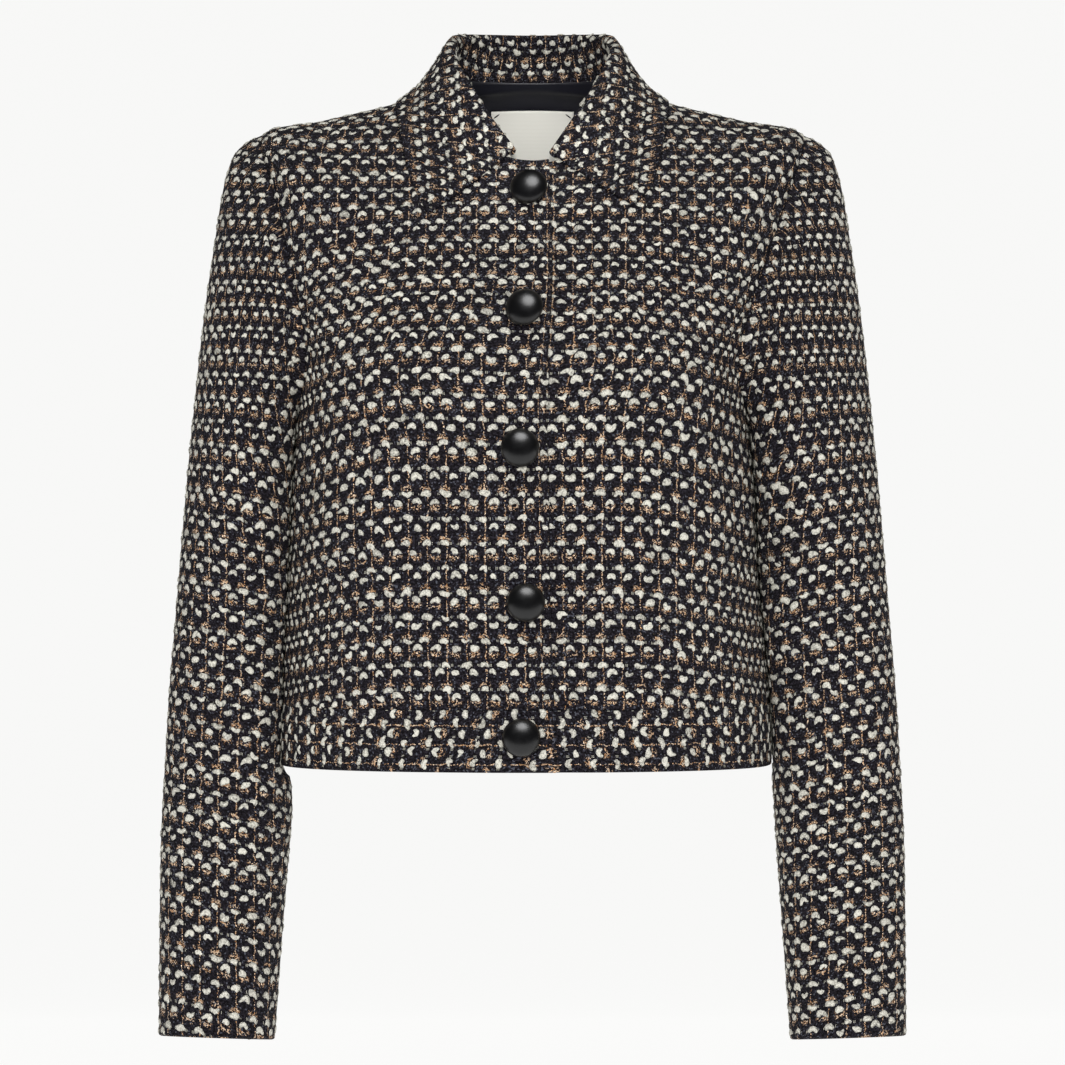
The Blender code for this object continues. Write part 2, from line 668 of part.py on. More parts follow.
def make_neck_lining(back_grid, lining, label_cloth):
    """Both lie inside the back: body_wall's depth sets them in from its outer surface."""
    rows, middle = slice(0, LINING_ROWS + 1), BACK_COLUMNS
    columns = slice(middle - LINING_COLUMNS, middle + LINING_COLUMNS + 1)
    places, angles = (grid[rows, columns] for grid in back_grid)
    body_wall("neck_lining", places, angles, LINING, lining, depth=TWEED + SEAM)

    def down_back(place):
        """Length down the centre back from the neck seam, in mm."""
        steps = np.linspace(0, place, 25)
        line = np.array([body_form(math.pi, p) for p in steps])
        return float(np.linalg.norm(np.diff(line, axis=0), axis=1).sum())

    drops = np.linspace(LABEL_DROP, LABEL_DROP + LABEL_HEIGHT, LABEL_ROWS + 1) / MM
    rows = np.array([find(lambda p: -down_back(p), -drop, 0, 4) for drop in drops])
    places = np.repeat(rows[:, None], LABEL_COLUMNS + 1, axis=1)
    angles = np.zeros_like(places)
    for j, place in enumerate(rows):
        half = find(lambda a: -body_form(math.pi - a, place)[0], -LABEL_WIDTH / MM / 2, 0, 1.2)
        angles[j] = np.linspace(math.pi - half, math.pi + half, LABEL_COLUMNS + 1)
    body_wall("label", places, angles, LINING, label_cloth, depth=TWEED + SEAM + LINING + LABEL_GAP)


# ---- buttons ----


def front_point(x, z):
    """Ring angle and place of the right front's point at an x and z, in mm."""
    angle, place = 0.0, 5.0
    for _ in range(6):
        place = find(lambda p: body_form(angle, p)[2], z, 0, RING["hem"])
        angle = lap_angle(place, x - along(BODY_ROWS, place)[7])
    return angle, place


def make_buttons(polish):
    """Half balls on a short shank. One that leans stands further off, so that its rim clears the cloth."""
    sides = BUTTON_SIDES
    for number, (x, z, lean_up, lean_right) in enumerate(BUTTONS, 1):
        angle, place = front_point(x, z)
        lift = over_lap(angle, place) + (BAND_PROUD / MM if place > RING["band seam"] else 0)
        seat = body_surface(angle, place, lift) * MM
        normal = out_of(body_form, angle, place)
        right = unit(np.cross(np.array((0.0, 0.0, 1.0)), normal))
        lean = np.cross(normal, right) * math.tan(math.radians(lean_up))
        axis = unit(normal + lean - right * math.tan(math.radians(lean_right)))
        slant = math.sqrt(max(1 - np.dot(axis, normal) ** 2, 0.0))
        off = BUTTON_OFF + BUTTON_SHANK * slant
        underside = max(BUTTON_UNDERSIDE, BUTTON_OFF + BUTTON_RADIUS * slant)
        profile = [(BUTTON_SHANK, off), (BUTTON_SHANK, underside)]
        profile.append((BUTTON_RADIUS * 0.9, underside + 0.3 * MM))
        for turn in np.linspace(0, math.pi / 2, DOME_STEPS + 1)[:-1]:
            height = underside + BUTTON_RIM + BUTTON_RISE * math.sin(turn)
            profile.append((BUTTON_RADIUS * math.cos(turn), height))
        right = unit(np.cross(np.array((0.0, 0.0, 1.0)), axis))
        up = np.cross(axis, right)
        points = [seat + axis * off]
        for radius, height in profile:
            for k in range(sides):
                turn = 2 * math.pi * k / sides
                way = right * math.cos(turn) + up * math.sin(turn)
                points.append(seat + axis * height + way * radius)
        points.append(seat + axis * (underside + BUTTON_RIM + BUTTON_RISE))
        faces = [(0, 1 + (k + 1) % sides, 1 + k) for k in range(sides)]
        for ring in range(len(profile) - 1):
            low = 1 + ring * sides
            for k in range(sides):
                n = (k + 1) % sides
                faces.append((low + k, low + n, low + sides + n, low + sides + k))
        top, low = len(points) - 1, 1 + (len(profile) - 1) * sides
        faces += [(low + k, low + (k + 1) % sides, top) for k in range(sides)]
        new_object(f"button_{number}", points, faces, polish)


for old in list(bpy.data.objects):
    bpy.data.objects.remove(old)
boucle = plain_material("boucle_tweed", (0.045, 0.045, 0.055), 0.9)
satin = plain_material("dark_lining", (0.012, 0.012, 0.016), 0.55)
woven_label = plain_material("cream_label", (0.78, 0.74, 0.64), 0.7)
black_polish = plain_material("black_button", (0.012, 0.012, 0.013), 0.25)
back_grid = make_body(boucle)
make_sleeves(boucle)
make_collar(boucle)
make_neck_lining(back_grid, satin, woven_label)
make_buttons(black_polish)
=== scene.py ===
"""A cropped tweed jacket, worn and empty: boucle cloth with raised slubs, a lining, a label and buttons.

Sizes are in millimetres unless a line says metres. The front faces -Y and the wearer's left is +X.
"""

import math

import bmesh
import bpy
import numpy as np
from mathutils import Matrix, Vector, kdtree


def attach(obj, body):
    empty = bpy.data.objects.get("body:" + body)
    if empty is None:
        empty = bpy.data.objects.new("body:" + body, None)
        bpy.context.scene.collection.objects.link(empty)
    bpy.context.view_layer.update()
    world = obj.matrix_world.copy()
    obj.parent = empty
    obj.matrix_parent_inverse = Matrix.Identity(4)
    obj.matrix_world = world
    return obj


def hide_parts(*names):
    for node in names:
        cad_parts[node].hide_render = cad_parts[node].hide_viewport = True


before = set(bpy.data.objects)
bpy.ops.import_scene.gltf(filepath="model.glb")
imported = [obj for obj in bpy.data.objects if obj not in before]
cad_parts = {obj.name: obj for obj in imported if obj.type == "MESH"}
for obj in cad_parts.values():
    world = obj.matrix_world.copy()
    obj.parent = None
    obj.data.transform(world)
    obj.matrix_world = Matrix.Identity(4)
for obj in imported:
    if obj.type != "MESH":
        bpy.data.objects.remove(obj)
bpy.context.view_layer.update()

MM = 0.001


# ---- The tweed ----
# A boucle tweed of about 450 g a square metre. Near-black navy yarn, spun into curls, runs both ways. Soft
# ecru cotton slubs come up over it in staggered double rows, and copper lurex threads run between them:
# down the cloth at each slub, and across it on both sides of every second double row.

SLUB_PITCH = 12.65  # along a row, from one slub to the next
PAIR_PITCH = 16.0  # down the cloth, from one double row to the next
SECOND_ROW = 0.345  # of the pair pitch, below the first row, and half a slub pitch along
LUREX_OFF_SLUB = 0.1  # of the slub pitch, where a lurex thread runs down
LUREX_OFF_ROW = 2.9  # above a double row and below it
CURL = 1.6  # a curl of the dark yarn
LUREX_BOW = 0.7  # how far it bows away from each slub
LUREX_GLINT = 0.7  # a glint of lurex, where the flat thread turns to the light
LUREX_RUN = 4.2  # on each side of a slub, where the lurex that runs across has ducked under


def linear(hex_colour):
    """A colour's linear parts, from its sRGB hex."""
    parts = [int(hex_colour[i : i + 2], 16) / 255 for i in (1, 3, 5)]
    return (*[c / 12.92 if c <= 0.04045 else ((c + 0.055) / 1.055) ** 2.4 for c in parts], 1.0)


def plug(node, inputs):
    """Gives a node's inputs their values, or links from sockets or from other nodes' first outputs."""
    for key, value in inputs.items():
        source = value.outputs[0] if isinstance(value, bpy.types.Node) else value
        if isinstance(source, bpy.types.NodeSocket):
            node.id_data.links.new(source, node.inputs[key])
        else:
            node.inputs[key].default_value = source


def add(tree, kind, inputs, **settings):
    """Adds a node with its settings and links."""
    made = tree.nodes.new("ShaderNode" + kind)
    for key, value in settings.items():
        setattr(made, key, value)
    plug(made, inputs)
    return made


def new_material(name):
    material = bpy.data.materials.new(name)
    material.use_nodes = True
    return material, material.node_tree, material.node_tree.nodes["Principled BSDF"]


# The ground of the tweed is boucle wool, woven and steamed. It is matt and near-black navy with grey-blue
# flecks.
# Painted highlights make its curls a little lighter, and its copper lurex shows as dots that are partly
# painted glints.
ground, tree, shader = new_material("dark_boucle_wool_with_lurex")
cloth = add(tree, "UVMap", {}, uv_map="cloth")
wander = add(tree, "TexNoise", {"Vector": cloth, "Scale": 1 / (4 * MM), "Detail": 1.5})
sway = add(tree, "VectorMath", {0: wander.outputs["Color"], 1: (0.5, 0.5, 0.5)}, operation="SUBTRACT")
swayed = add(tree, "VectorMath", {0: sway, "Scale": 3.4 * MM}, operation="SCALE")
threads = add(tree, "VectorMath", {0: cloth, 1: swayed}, operation="ADD")
swaying = add(tree, "SeparateXYZ", {"Vector": threads})
straight = add(tree, "SeparateXYZ", {"Vector": cloth})


def off_line(value, start, pitch):
    """How far a coordinate lies from the nearest of evenly spaced lines, in metres."""
    moved = add(tree, "Math", {0: value, 1: start * MM}, operation="SUBTRACT")
    return add(tree, "Math", {0: moved, 1: pitch * MM / 2}, operation="PINGPONG")


def within(distance, full, none):
    """1 up to the full distance, easing to 0 at the other."""
    ends = {"Value": distance, "From Min": full * MM, "From Max": none * MM, "To Min": 1.0, "To Max": 0.0}
    return add(tree, "MapRange", ends, interpolation_type="SMOOTHSTEP")


def cells(size, seed):
    """Cells of a size on the cloth, and a random number for each of them."""
    shifted = add(tree, "VectorMath", {0: cloth, 1: (seed, 2.3 * seed, 0)}, operation="ADD")
    made = add(tree, "TexVoronoi", {"Vector": shifted, "Scale": 1 / (size * MM)}, voronoi_dimensions="2D")
    return made, add(tree, "SeparateColor", {"Color": made.outputs["Color"]})


# The lurex that runs across bows away from each slub and ducks under the wool between them.
waves = 2 * math.pi / (SLUB_PITCH * MM)
phase = add(tree, "Math", {0: straight.outputs["X"], 1: waves}, operation="MULTIPLY")
wave = add(tree, "Math", {0: phase}, operation="COSINE")
bow = add(tree, "Math", {0: wave, 1: LUREX_BOW * MM}, operation="MULTIPLY")
bowed = add(tree, "Math", {0: swaying.outputs["Y"], 1: bow}, operation="ADD")
off_slub = off_line(straight.outputs["X"], 0, SLUB_PITCH)
off_second = add(tree, "Math", {0: SLUB_PITCH / 2 * MM, 1: off_slub}, operation="SUBTRACT")
above_row = off_line(bowed, -LUREX_OFF_ROW, 2 * PAIR_PITCH)
below_row = off_line(bowed, SECOND_ROW * PAIR_PITCH + LUREX_OFF_ROW, 2 * PAIR_PITCH)


def across_cloth(full, none, shown):
    """Near the lurex above and below every second double row: full and none off it, shown beside a slub."""
    both = []
    for off_thread, off in ((above_row, off_slub), (below_row, off_second)):
        shares = {0: within(off_thread, full, none), 1: within(off, shown, LUREX_RUN)}
        both.append(add(tree, "Math", shares, operation="MULTIPLY"))
    return add(tree, "Math", {0: both[0], 1: both[1]}, operation="MAXIMUM")


# The lurex shows as dots: the copper thread is drawn only in some of its cells, as painted glints where it
# turns to the light.
_, glint = cells(LUREX_GLINT, 3.1)
down_cloth = within(off_line(swaying.outputs["X"], LUREX_OFF_SLUB * SLUB_PITCH, SLUB_PITCH), 0.25, 0.55)
lurex = 0.0
runs = ((down_cloth, 0.46), (across_cloth(0.35, 0.9, 2.2), 0.58), (across_cloth(1.0, 3.2, 2.4), 0.18))
for thread, share in runs:
    turned_to_light = add(tree, "Math", {0: glint, 1: 1 - share}, operation="GREATER_THAN")
    painted_glints = add(tree, "Math", {0: thread, 1: turned_to_light}, operation="MULTIPLY")
    lurex = add(tree, "Math", {0: lurex, 1: painted_glints}, operation="MAXIMUM")

# Beside each slub of the first row, its strand ducks under the dark yarn as a short ladder of pale dashes.
off_row = off_line(straight.outputs["Y"], 0, PAIR_PITCH)
off_rung = off_line(off_slub, 3.6, 0.85)
_, dash = cells(2.5, 5.7)
ladder = add(tree, "Math", {0: dash, 1: 0.35}, operation="GREATER_THAN")
for distance, middle, reach in ((off_slub, 4.1, 0.8), (off_row, 0, 0.9), (off_rung, 0, 0.2)):
    there = add(tree, "Math", {0: distance, 1: middle * MM, 2: reach * MM}, operation="COMPARE")
    ladder = add(tree, "Math", {0: ladder, 1: there}, operation="MULTIPLY")

# Painted highlight: patches of the curl noise are painted a lighter grey, where the curls catch the light.
curls, _ = cells(CURL, 0.7)
curling = {"Vector": cloth, "Scale": 1 / (CURL * MM), "Detail": 3.0, "Roughness": 0.65}
curl_noise = add(tree, "TexNoise", curling)
lit_curls = add(tree, "MapRange", {"Value": curl_noise, "From Min": 0.45, "From Max": 0.68})
_, fleck = cells(0.9, 1.9)
flecks = add(tree, "Math", {0: fleck, 1: 0.93}, operation="GREATER_THAN")
# The lurex's colour runs from the thread's own copper to a pale painted highlight.
coppers = {"Factor": fleck, 6: linear("#b98350"), 7: linear("#ffe5c8")}
copper = add(tree, "Mix", coppers, data_type="RGBA").outputs[2]
colour = linear("#0e0b0f")
greys = ((lit_curls, linear("#38343d")), (flecks, linear("#5a5c66")), (ladder, linear("#c4c1b2")))
for share, over in (*greys, (lurex, copper)):
    colour = add(tree, "Mix", {"Factor": share, 6: colour, 7: over}, data_type="RGBA").outputs[2]
curl_height = add(tree, "Math", {0: curl_noise, 1: curls.outputs["Distance"]}, operation="SUBTRACT")
plug(shader, {
    "Base Color": colour,
    "Metallic": add(tree, "Math", {0: lurex, 1: 0.3}, operation="MULTIPLY"),
    "Roughness": add(tree, "MapRange", {"Value": lurex, "To Min": 0.95, "To Max": 0.4}),
    "Specular IOR Level": 0.15,
    "Sheen Weight": 0.03,
    "Sheen Tint": linear("#8a90a0"),
    "Normal": add(tree, "Bump", {"Height": curl_height, "Strength": 1.0, "Distance": 1.4 * MM}),
})

# The slubs are loosely twisted ecru cotton, matt and a little hairy, with painted shade darker towards each
# base.
slub_cotton, tree, shader = new_material("ecru_cotton_slub")
# The tone attribute holds each slub's own random tone times painted shade that darkens towards its base.
tone = add(tree, "Attribute", {}, attribute_name="tone").outputs["Fac"]
place = add(tree, "TexCoord", {}).outputs["Object"]
fibrous = {"Vector": place, "Scale": 1 / (1.3 * MM), "Detail": 5.0, "Roughness": 0.75}
fibres = add(tree, "TexNoise", fibrous)
strands = {"Value": fibres, "From Min": 0.34, "From Max": 0.6, "To Min": -0.75, "To Max": 0.16}
uneven = add(tree, "MapRange", strands)
shade = add(tree, "Math", {0: tone, 1: uneven}, operation="ADD")
cottons = {"Factor": shade, 6: linear("#35332e"), 7: linear("#edeadd")}
plug(shader, {
    "Base Color": add(tree, "Mix", cottons, data_type="RGBA").outputs[2],
    "Roughness": 0.85,
    "Specular IOR Level": 0.2,
    "Normal": add(tree, "Bump", {"Height": fibres, "Strength": 0.8, "Distance": 0.6 * MM}),
})


def mottled(name, patch, dark, light, detail=2.0):
    """A material whose tone drifts from a dark to a light colour in patches of a size."""
    material, tree, shader = new_material(name)
    place = add(tree, "TexCoord", {}).outputs["Object"]
    drift = add(tree, "TexNoise", {"Vector": place, "Scale": 1 / (patch * MM), "Detail": detail})
    tones = {"Factor": drift, 6: linear(dark), 7: linear(light)}
    plug(shader, {"Base Color": add(tree, "Mix", tones, data_type="RGBA").outputs[2]})
    return material, tree, shader, drift


# The inside is woven viscose satin in dark navy: smooth, with a soft sheen and a faint ripple.
satin, tree, shader, ripple = mottled("navy_satin_lining", 18, "#0d0d13", "#1b1b25")
rippled = add(tree, "Bump", {"Height": ripple, "Strength": 0.3, "Distance": 1.5 * MM})
plug(shader, {"Roughness": 0.5, "Normal": rippled})

SLUB_RISE, SLUB_LUMPS = 0.85, 0.13


def slub_shape(length, width, arch, low_notch, high_notch, skew):
    """A slub, long along X and rising along Z: bent by arch, and notched from one side into two lobes."""
    bm = bmesh.new()
    bmesh.ops.create_uvsphere(bm, u_segments=8, v_segments=6, radius=1)
    for vert in bm.verts:
        z, y, x = vert.co
        blunt = math.copysign(abs(x) ** 0.8, x)
        notch = (low_notch if y < 0 else high_notch) * math.exp(-((x / 0.35) ** 2))
        wide = y * (1 - notch) * (1 + skew * x) * width / 2
        rise = z * (1 - 0.5 * notch) * SLUB_RISE
        vert.co = (blunt * length / 2, wide + arch * (0.5 - blunt * blunt), rise)
    bmesh.ops.triangulate(bm, faces=bm.faces)
    bmesh.ops.recalc_face_normals(bm, faces=bm.faces)
    bm.verts.index_update()
    points = np.array([vert.co[:] for vert in bm.verts])
    corners = np.array([[vert.index for vert in face.verts] for face in bm.faces])
    bm.free()
    return points, corners


FIRST_ROW_SLUBS = [  # length, width, arch, low_notch, high_notch, skew
    slub_shape(6.2, 4.9, 0.5, 0.2, 0.1, 0.12),
    slub_shape(6.6, 4.6, 1.1, 0.4, 0.0, -0.1),
    slub_shape(6.7, 4.2, -0.7, 0.0, 0.4, 0.05),
    slub_shape(5.7, 5.1, 0.9, 0.45, 0.0, 0.25),
]
SECOND_ROW_SLUBS = [
    slub_shape(6.4, 5.1, 1.2, 0.55, 0.0, 0.0),
    slub_shape(6.0, 5.1, -0.8, 0.0, 0.5, 0.08),
    slub_shape(6.8, 4.6, 1.7, 0.35, 0.0, -0.12),
    slub_shape(5.8, 5.0, 0.4, 0.15, 0.0, -0.2),
]
SLUB_PULL = 2.3  # a slub that would have to move further is left out
SLUB_ROOM = 3.5  # the least from a slub's middle to a turned edge
TWEED = 2.5
EDGE_STEPS = (0, 0.35, 0.9, 1.7, 3.0)  # where the cloth turns over at an edge or sinks into a seam
TURNED = 1.6  # how far the cloth rounds over at an edge that is turned in
LAPPED = 1.3  # at the front edge, where the right front laps over
SEWN = 0.3  # and at a seam


def graded(count, length):
    """Shares from 0 to 1, even but for the steps near both ends, where the cloth turns."""
    ends = np.array(EDGE_STEPS) / length
    return np.concatenate((ends, np.linspace(ends[-1], 1 - ends[-1], count + 1)[1:-1], 1 - ends[::-1]))


def unit(vectors):
    """Vectors of length 1, in the same ways."""
    return vectors / np.linalg.norm(vectors, axis=-1, keepdims=True)


def normals_of(points):
    """Outward normals of a grid whose rows go down and whose columns go from left to right."""
    down, across = np.gradient(points, axis=0), np.gradient(points, axis=1)
    out = np.cross(down, across)
    return out / np.maximum(np.linalg.norm(out, axis=2, keepdims=True), 1e-9)


def from_edges(points):
    """How far each point of a grid lies from its top, bottom, left and right edge, along the cloth."""
    found = []
    for axis in (0, 1):
        steps = np.linalg.norm(np.diff(points, axis=axis), axis=2)
        run = np.insert(np.cumsum(steps, axis=axis), 0, 0, axis=axis)
        found += [run, run.take([-1], axis=axis) - run]
    return found


def mesh_object(name, mesh, materials):
    for material in materials:
        mesh.materials.append(material)
    thing = bpy.data.objects.new(name, mesh)
    bpy.context.scene.collection.objects.link(thing)
    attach(thing, "root")
    return thing


def mesh_of(bm, name):
    mesh = bpy.data.meshes.new(name)
    bm.to_mesh(mesh)
    bm.free()
    return mesh


def shell(name, points, cloth_mm, materials, thickness, rounds=()):
    """A piece of cloth from a grid of points, in mm, with a UV map that holds its own width and length.

    rounds has how far the cloth rounds over at its top, bottom, left and right edge.
    """
    sink = np.zeros(points.shape[:2])
    for reach, run in zip(rounds, from_edges(points)):
        sink = np.maximum(sink, reach * (1 - np.sqrt(1 - np.clip(1 - run / reach, 0, 1) ** 2)))
    rounded = points - normals_of(points) * sink[..., None]
    rows, columns = points.shape[0] - 1, points.shape[1] - 1
    bm = bmesh.new()
    uv = bm.loops.layers.uv.new("cloth")
    bmesh.ops.create_grid(bm, x_segments=columns, y_segments=rows, size=0.5)
    for face in bm.faces:
        face.smooth = True
        for loop in face.loops:
            x, y, _ = loop.vert.co
            j, i = round((0.5 - y) * rows), round((x + 0.5) * columns)
            loop[uv].uv = cloth_mm[j, i] * MM
    for vert in bm.verts:
        j, i = round((0.5 - vert.co.y) * rows), round((vert.co.x + 0.5) * columns)
        vert.co = rounded[j, i] * MM
    thing = mesh_object(name, mesh_of(bm, name), materials)
    wall = thing.modifiers.new("wall", "SOLIDIFY")
    wall.thickness, wall.offset, wall.material_offset = thickness * MM, -1, len(materials) - 1
    return thing


def pulled_in(points, rounds):
    """How far slubs move off the turned edges of a grid of cloth, so that none hangs past them."""
    down, across = np.gradient(points, axis=0), np.gradient(points, axis=1)
    pull = np.zeros_like(points)
    for reach, run, way in zip(rounds, from_edges(points), (down, -down, across, -across)):
        short = np.clip(SLUB_ROOM - run, 0, None) if reach == TURNED else 0 * run
        pull += short[..., None] * way / np.maximum(np.linalg.norm(way, axis=2, keepdims=True), 1e-9)
    return pull


def lattice(points, cloth_mm, rounds):
    """Where the slubs come up on a grid of cloth, found on its triangles, with a row for each slub."""
    grids = {"place": points, "cloth": cloth_mm, "out": normals_of(points)}
    grids["pull"] = pulled_in(points, rounds)
    corner, lower, far, right = np.s_[:-1, :-1], np.s_[1:, :-1], np.s_[1:, 1:], np.s_[:-1, 1:]
    found = []
    for row, (shift, drop) in enumerate(((0.0, 0.0), (0.5, SECOND_ROW))):
        for trio in ((corner, lower, far), (corner, far, right)):
            at = {}
            for key, grid in grids.items():
                at[key] = np.stack([grid[part].reshape(-1, grid.shape[-1]) for part in trio], 1)
            a = at["cloth"][..., 0] / SLUB_PITCH - shift
            b = at["cloth"][..., 1] / PAIR_PITCH - drop
            a, b = a - np.ceil(a.min(1, keepdims=True)), b - np.ceil(b.min(1, keepdims=True))
            a1, a2, b1, b2 = a[:, 1] - a[:, 0], a[:, 2] - a[:, 0], b[:, 1] - b[:, 0], b[:, 2] - b[:, 0]
            size = a1 * b2 - a2 * b1
            size = np.where(np.abs(size) < 1e-9, 1e-9, size)
            w1, w2 = (b[:, 0] * a2 - a[:, 0] * b2) / size, (a[:, 0] * b1 - b[:, 0] * a1) / size
            hit = (w1 >= 0) & (w2 >= 0) & (w1 + w2 < 1)
            w1, w2, size = w1[hit, None], w2[hit, None], size[hit, None]
            slub = {}
            for key, grid in at.items():
                slub[key] = grid[hit, 0] * (1 - w1 - w2) + grid[hit, 1] * w1 + grid[hit, 2] * w2
            d1, d2 = (at["place"][hit, k] - at["place"][hit, 0] for k in (1, 2))
            slub["along"] = (d1 * b2[hit, None] - d2 * b1[hit, None]) / size
            slub["down"] = (d2 * a1[hit, None] - d1 * a2[hit, None]) / size
            slub["row"] = np.full((len(w1), 1), row)
            found.append(slub)
    return {key: np.concatenate([slub[key] for slub in found]) for key in found[0]}


def slubs(name, points, cloth_mm, seed, rounds, keep, plump):
    """All the slubs of a piece of tweed, as one mesh, each turned, sized and toned a little differently."""
    at = lattice(points, cloth_mm, rounds)
    kept = keep(at["place"]) & (np.linalg.norm(at["pull"], axis=1) < SLUB_PULL)
    at = {key: grid[kept] for key, grid in at.items()}
    dice = np.random.default_rng(seed)
    count = len(at["place"])
    out = unit(at["out"])
    squeeze = np.clip(np.linalg.norm(at["along"], axis=1, keepdims=True) / SLUB_PITCH, 0.5, 1.1)
    press = np.clip(np.linalg.norm(at["down"], axis=1, keepdims=True) / PAIR_PITCH, 0.6, 1.1) ** 0.6
    press = press * (0.55 + 0.45 * squeeze)
    flat = unit(at["along"] - out * (at["along"] * out).sum(1, keepdims=True))
    flat = flat * np.where((np.cross(out, flat) * at["down"]).sum(1, keepdims=True) > 0, -1.0, 1.0)
    up = np.cross(out, flat)
    turn = dice.normal(0, 0.22, (count, 1)) + np.where(at["row"] == 1, 0.0, -0.12)
    flat, up = flat * np.cos(turn) + up * np.sin(turn), up * np.cos(turn) - flat * np.sin(turn)
    size = plump * np.clip(dice.normal(1.05, 0.09, (count, 1)), 0.8, 1.25)
    place = at["place"] + flat * dice.normal(0, 0.6, (count, 1)) + up * dice.normal(0, 0.4, (count, 1))
    place = place + out * dice.uniform(-0.45, -0.05, (count, 1)) + at["pull"]
    bend, shear = dice.normal(0, 0.35, (count, 1)), dice.normal(0, 0.22, (count, 1))
    kind = dice.integers(0, 4, count) + 4 * at["row"][:, 0].astype(int)
    tone = np.clip(dice.normal(1.0, 0.1, count), 0.5, 1.2)
    verts, faces, tones, start = [], [], [], 0
    for k, (shape, corners) in enumerate(FIRST_ROW_SLUBS + SECOND_ROW_SLUBS):
        own = np.flatnonzero(kind == k)
        x, y, z = (shape[None, :, axis, None] * size[own, None] for axis in range(3))
        y = y + bend[own, None] * (0.4 - (x / 3.2) ** 2)
        x, y = (x + shear[own, None] * y) * squeeze[own, None], y * press[own, None]
        made = place[own, None] + x * flat[own, None] + y * up[own, None] + z * out[own, None]
        verts.append(made.reshape(-1, 3) + dice.normal(0, SLUB_LUMPS, (len(own) * len(shape), 3)))
        firsts = start + len(shape) * np.arange(len(own))[:, None, None]
        faces.append((corners[None] + firsts).reshape(-1, 3))
        # Painted shade: the tone fades to six tenths towards each slub's base, where it dips into the dark
        # yarn.
        painted_base_shade = 0.6 + 0.4 * np.clip(shape[:, 2] / SLUB_RISE, 0, 1)
        tones.append((tone[own, None] * painted_base_shade[None]).ravel())
        start += len(shape) * len(own)
    mesh = bpy.data.meshes.new(name)
    mesh.from_pydata((np.concatenate(verts) * MM).tolist(), [], np.concatenate(faces).tolist())
    tone_data = mesh.attributes.new("tone", "FLOAT", "POINT").data
    tone_data.foreach_set("value", np.concatenate(tones).astype(np.float32))
    mesh.shade_smooth()
    return mesh_object(name, mesh, [slub_cotton])


def everywhere(places):
    return np.full(len(places), True)


def tweed_piece(node, points, cloth_mm, seed, rounds, keep=everywhere, plump=1.0):
    """A cut piece of tweed with its slubs, in place of its plain CAD wall."""
    base = shell(node + "_cloth", points, cloth_mm, [ground, satin], TWEED, rounds)
    raised = slubs(node + "_slubs", points, cloth_mm, seed, rounds, keep, plump)
    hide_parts(node)


# ---- The fronts ----
# Two fronts of tweed, cut on the straight grain and eased over the bust. Each runs from the neck seam to
# the waistband, with the shoulder seam, armhole and side seam at its outer edge. The right front laps over
# the left one, and its edge is turned in and rounded.

BODY_RINGS = {  # half_width, front, back, z_front, z_side, z_back, squareness, sway
    "neck seam": (72, 57, 68, -49, 0, 14, 2.0, 0),
    "under the collar": (105, 72, 80, -66, -8.4, 2, 2.0, 0),
    "mid shoulder": (143, 88, 92, -88, -17.2, -26, 2.05, 0),
    "shoulder point": (181.5, 101, 100, -116, -26, -60, 2.15, 0),
    "upper chest": (180, 108, 103.5, -138, -58, -91, 2.25, -1),
    "mid chest": (173.5, 114, 104.5, -160, -95, -124, 2.3, -3),
    "low chest": (163, 118.5, 103.5, -182, -138, -158, 2.3, -5.2),
    "bust": (153, 121, 101, -205, -180, -190, 2.3, -7),
    "underarm": (152, 121.5, 98, -232, -220, -225, 2.3, -7),
    "under bust": (156, 119.5, 95, -276, -271, -272, 2.3, -6.5),
    "waist": (158, 116.5, 93.5, -326, -324, -323, 2.3, -6.5),
    "high hip": (162, 114.5, 96, -370, -369, -368, 2.3, -6),
    "band seam": (164.5, 114, 99, -410, -410, -410, 2.3, -5),
    "hem": (165.5, 113.5, 101, -450.5, -450.5, -450.5, 2.3, -4.7),
}
RING = {name: place for place, name in enumerate(BODY_RINGS)}
BODY_ROWS = np.array(list(BODY_RINGS.values()), float)
BODY_FOLDS = [  # angle, angle_reach, z_middle, z_reach, depth, slant (degrees for each 100 mm down)
    (62, 9, -265, 75, -3.2, 7),
    (-62, 8, -262, 70, -2.8, -7),
    (66, 10, -380, 35, -2.4, 3),
    (-68, 9, -385, 32, -2.0, -3),
    (128, 11, -270, 80, -2.8, -5),
    (-126, 12, -280, 75, -2.6, 5),
    (44, 7, -345, 60, -1.2, 6),
    (-40, 8, -350, 55, -1.1, -4),
    (30, 6, -395, 22, -0.9, 0),
    (-24, 7, -398, 20, -0.8, 0),
    (160, 8, -350, 70, -1.3, 4),
    (-152, 8, -340, 60, -1.5, -6),
]
ARMHOLE_TOP, ARMHOLE_BOTTOM, ARMHOLE_FRONT, ARMHOLE_BACK = -26, -220, 56, 53
ARMHOLE_EGG = 0.25  # how much wider it is below than above
LAP_AT_NECK, LAP_AT_HEM, UNDER_LAP = 11, 20, 18  # how far the fronts reach past the centre
LAP_LIFT, LAP_SINK = 1.3, 1.6  # out of the body's form for the right front, into it for the left
LAP_RISE_FROM = -52  # from the centre, where the right front starts to rise over the left one
LAP_SINK_KEPT, LAP_SINK_GONE = 6, 24  # past the right front's edge
SIDE, SEAM = math.pi / 2, 0.1  # a side seam's ring angle, and the gap at a seam
SHOULDER_STEPS, ARMHOLE_STEPS, SIDE_STEPS = 4, 13, 6


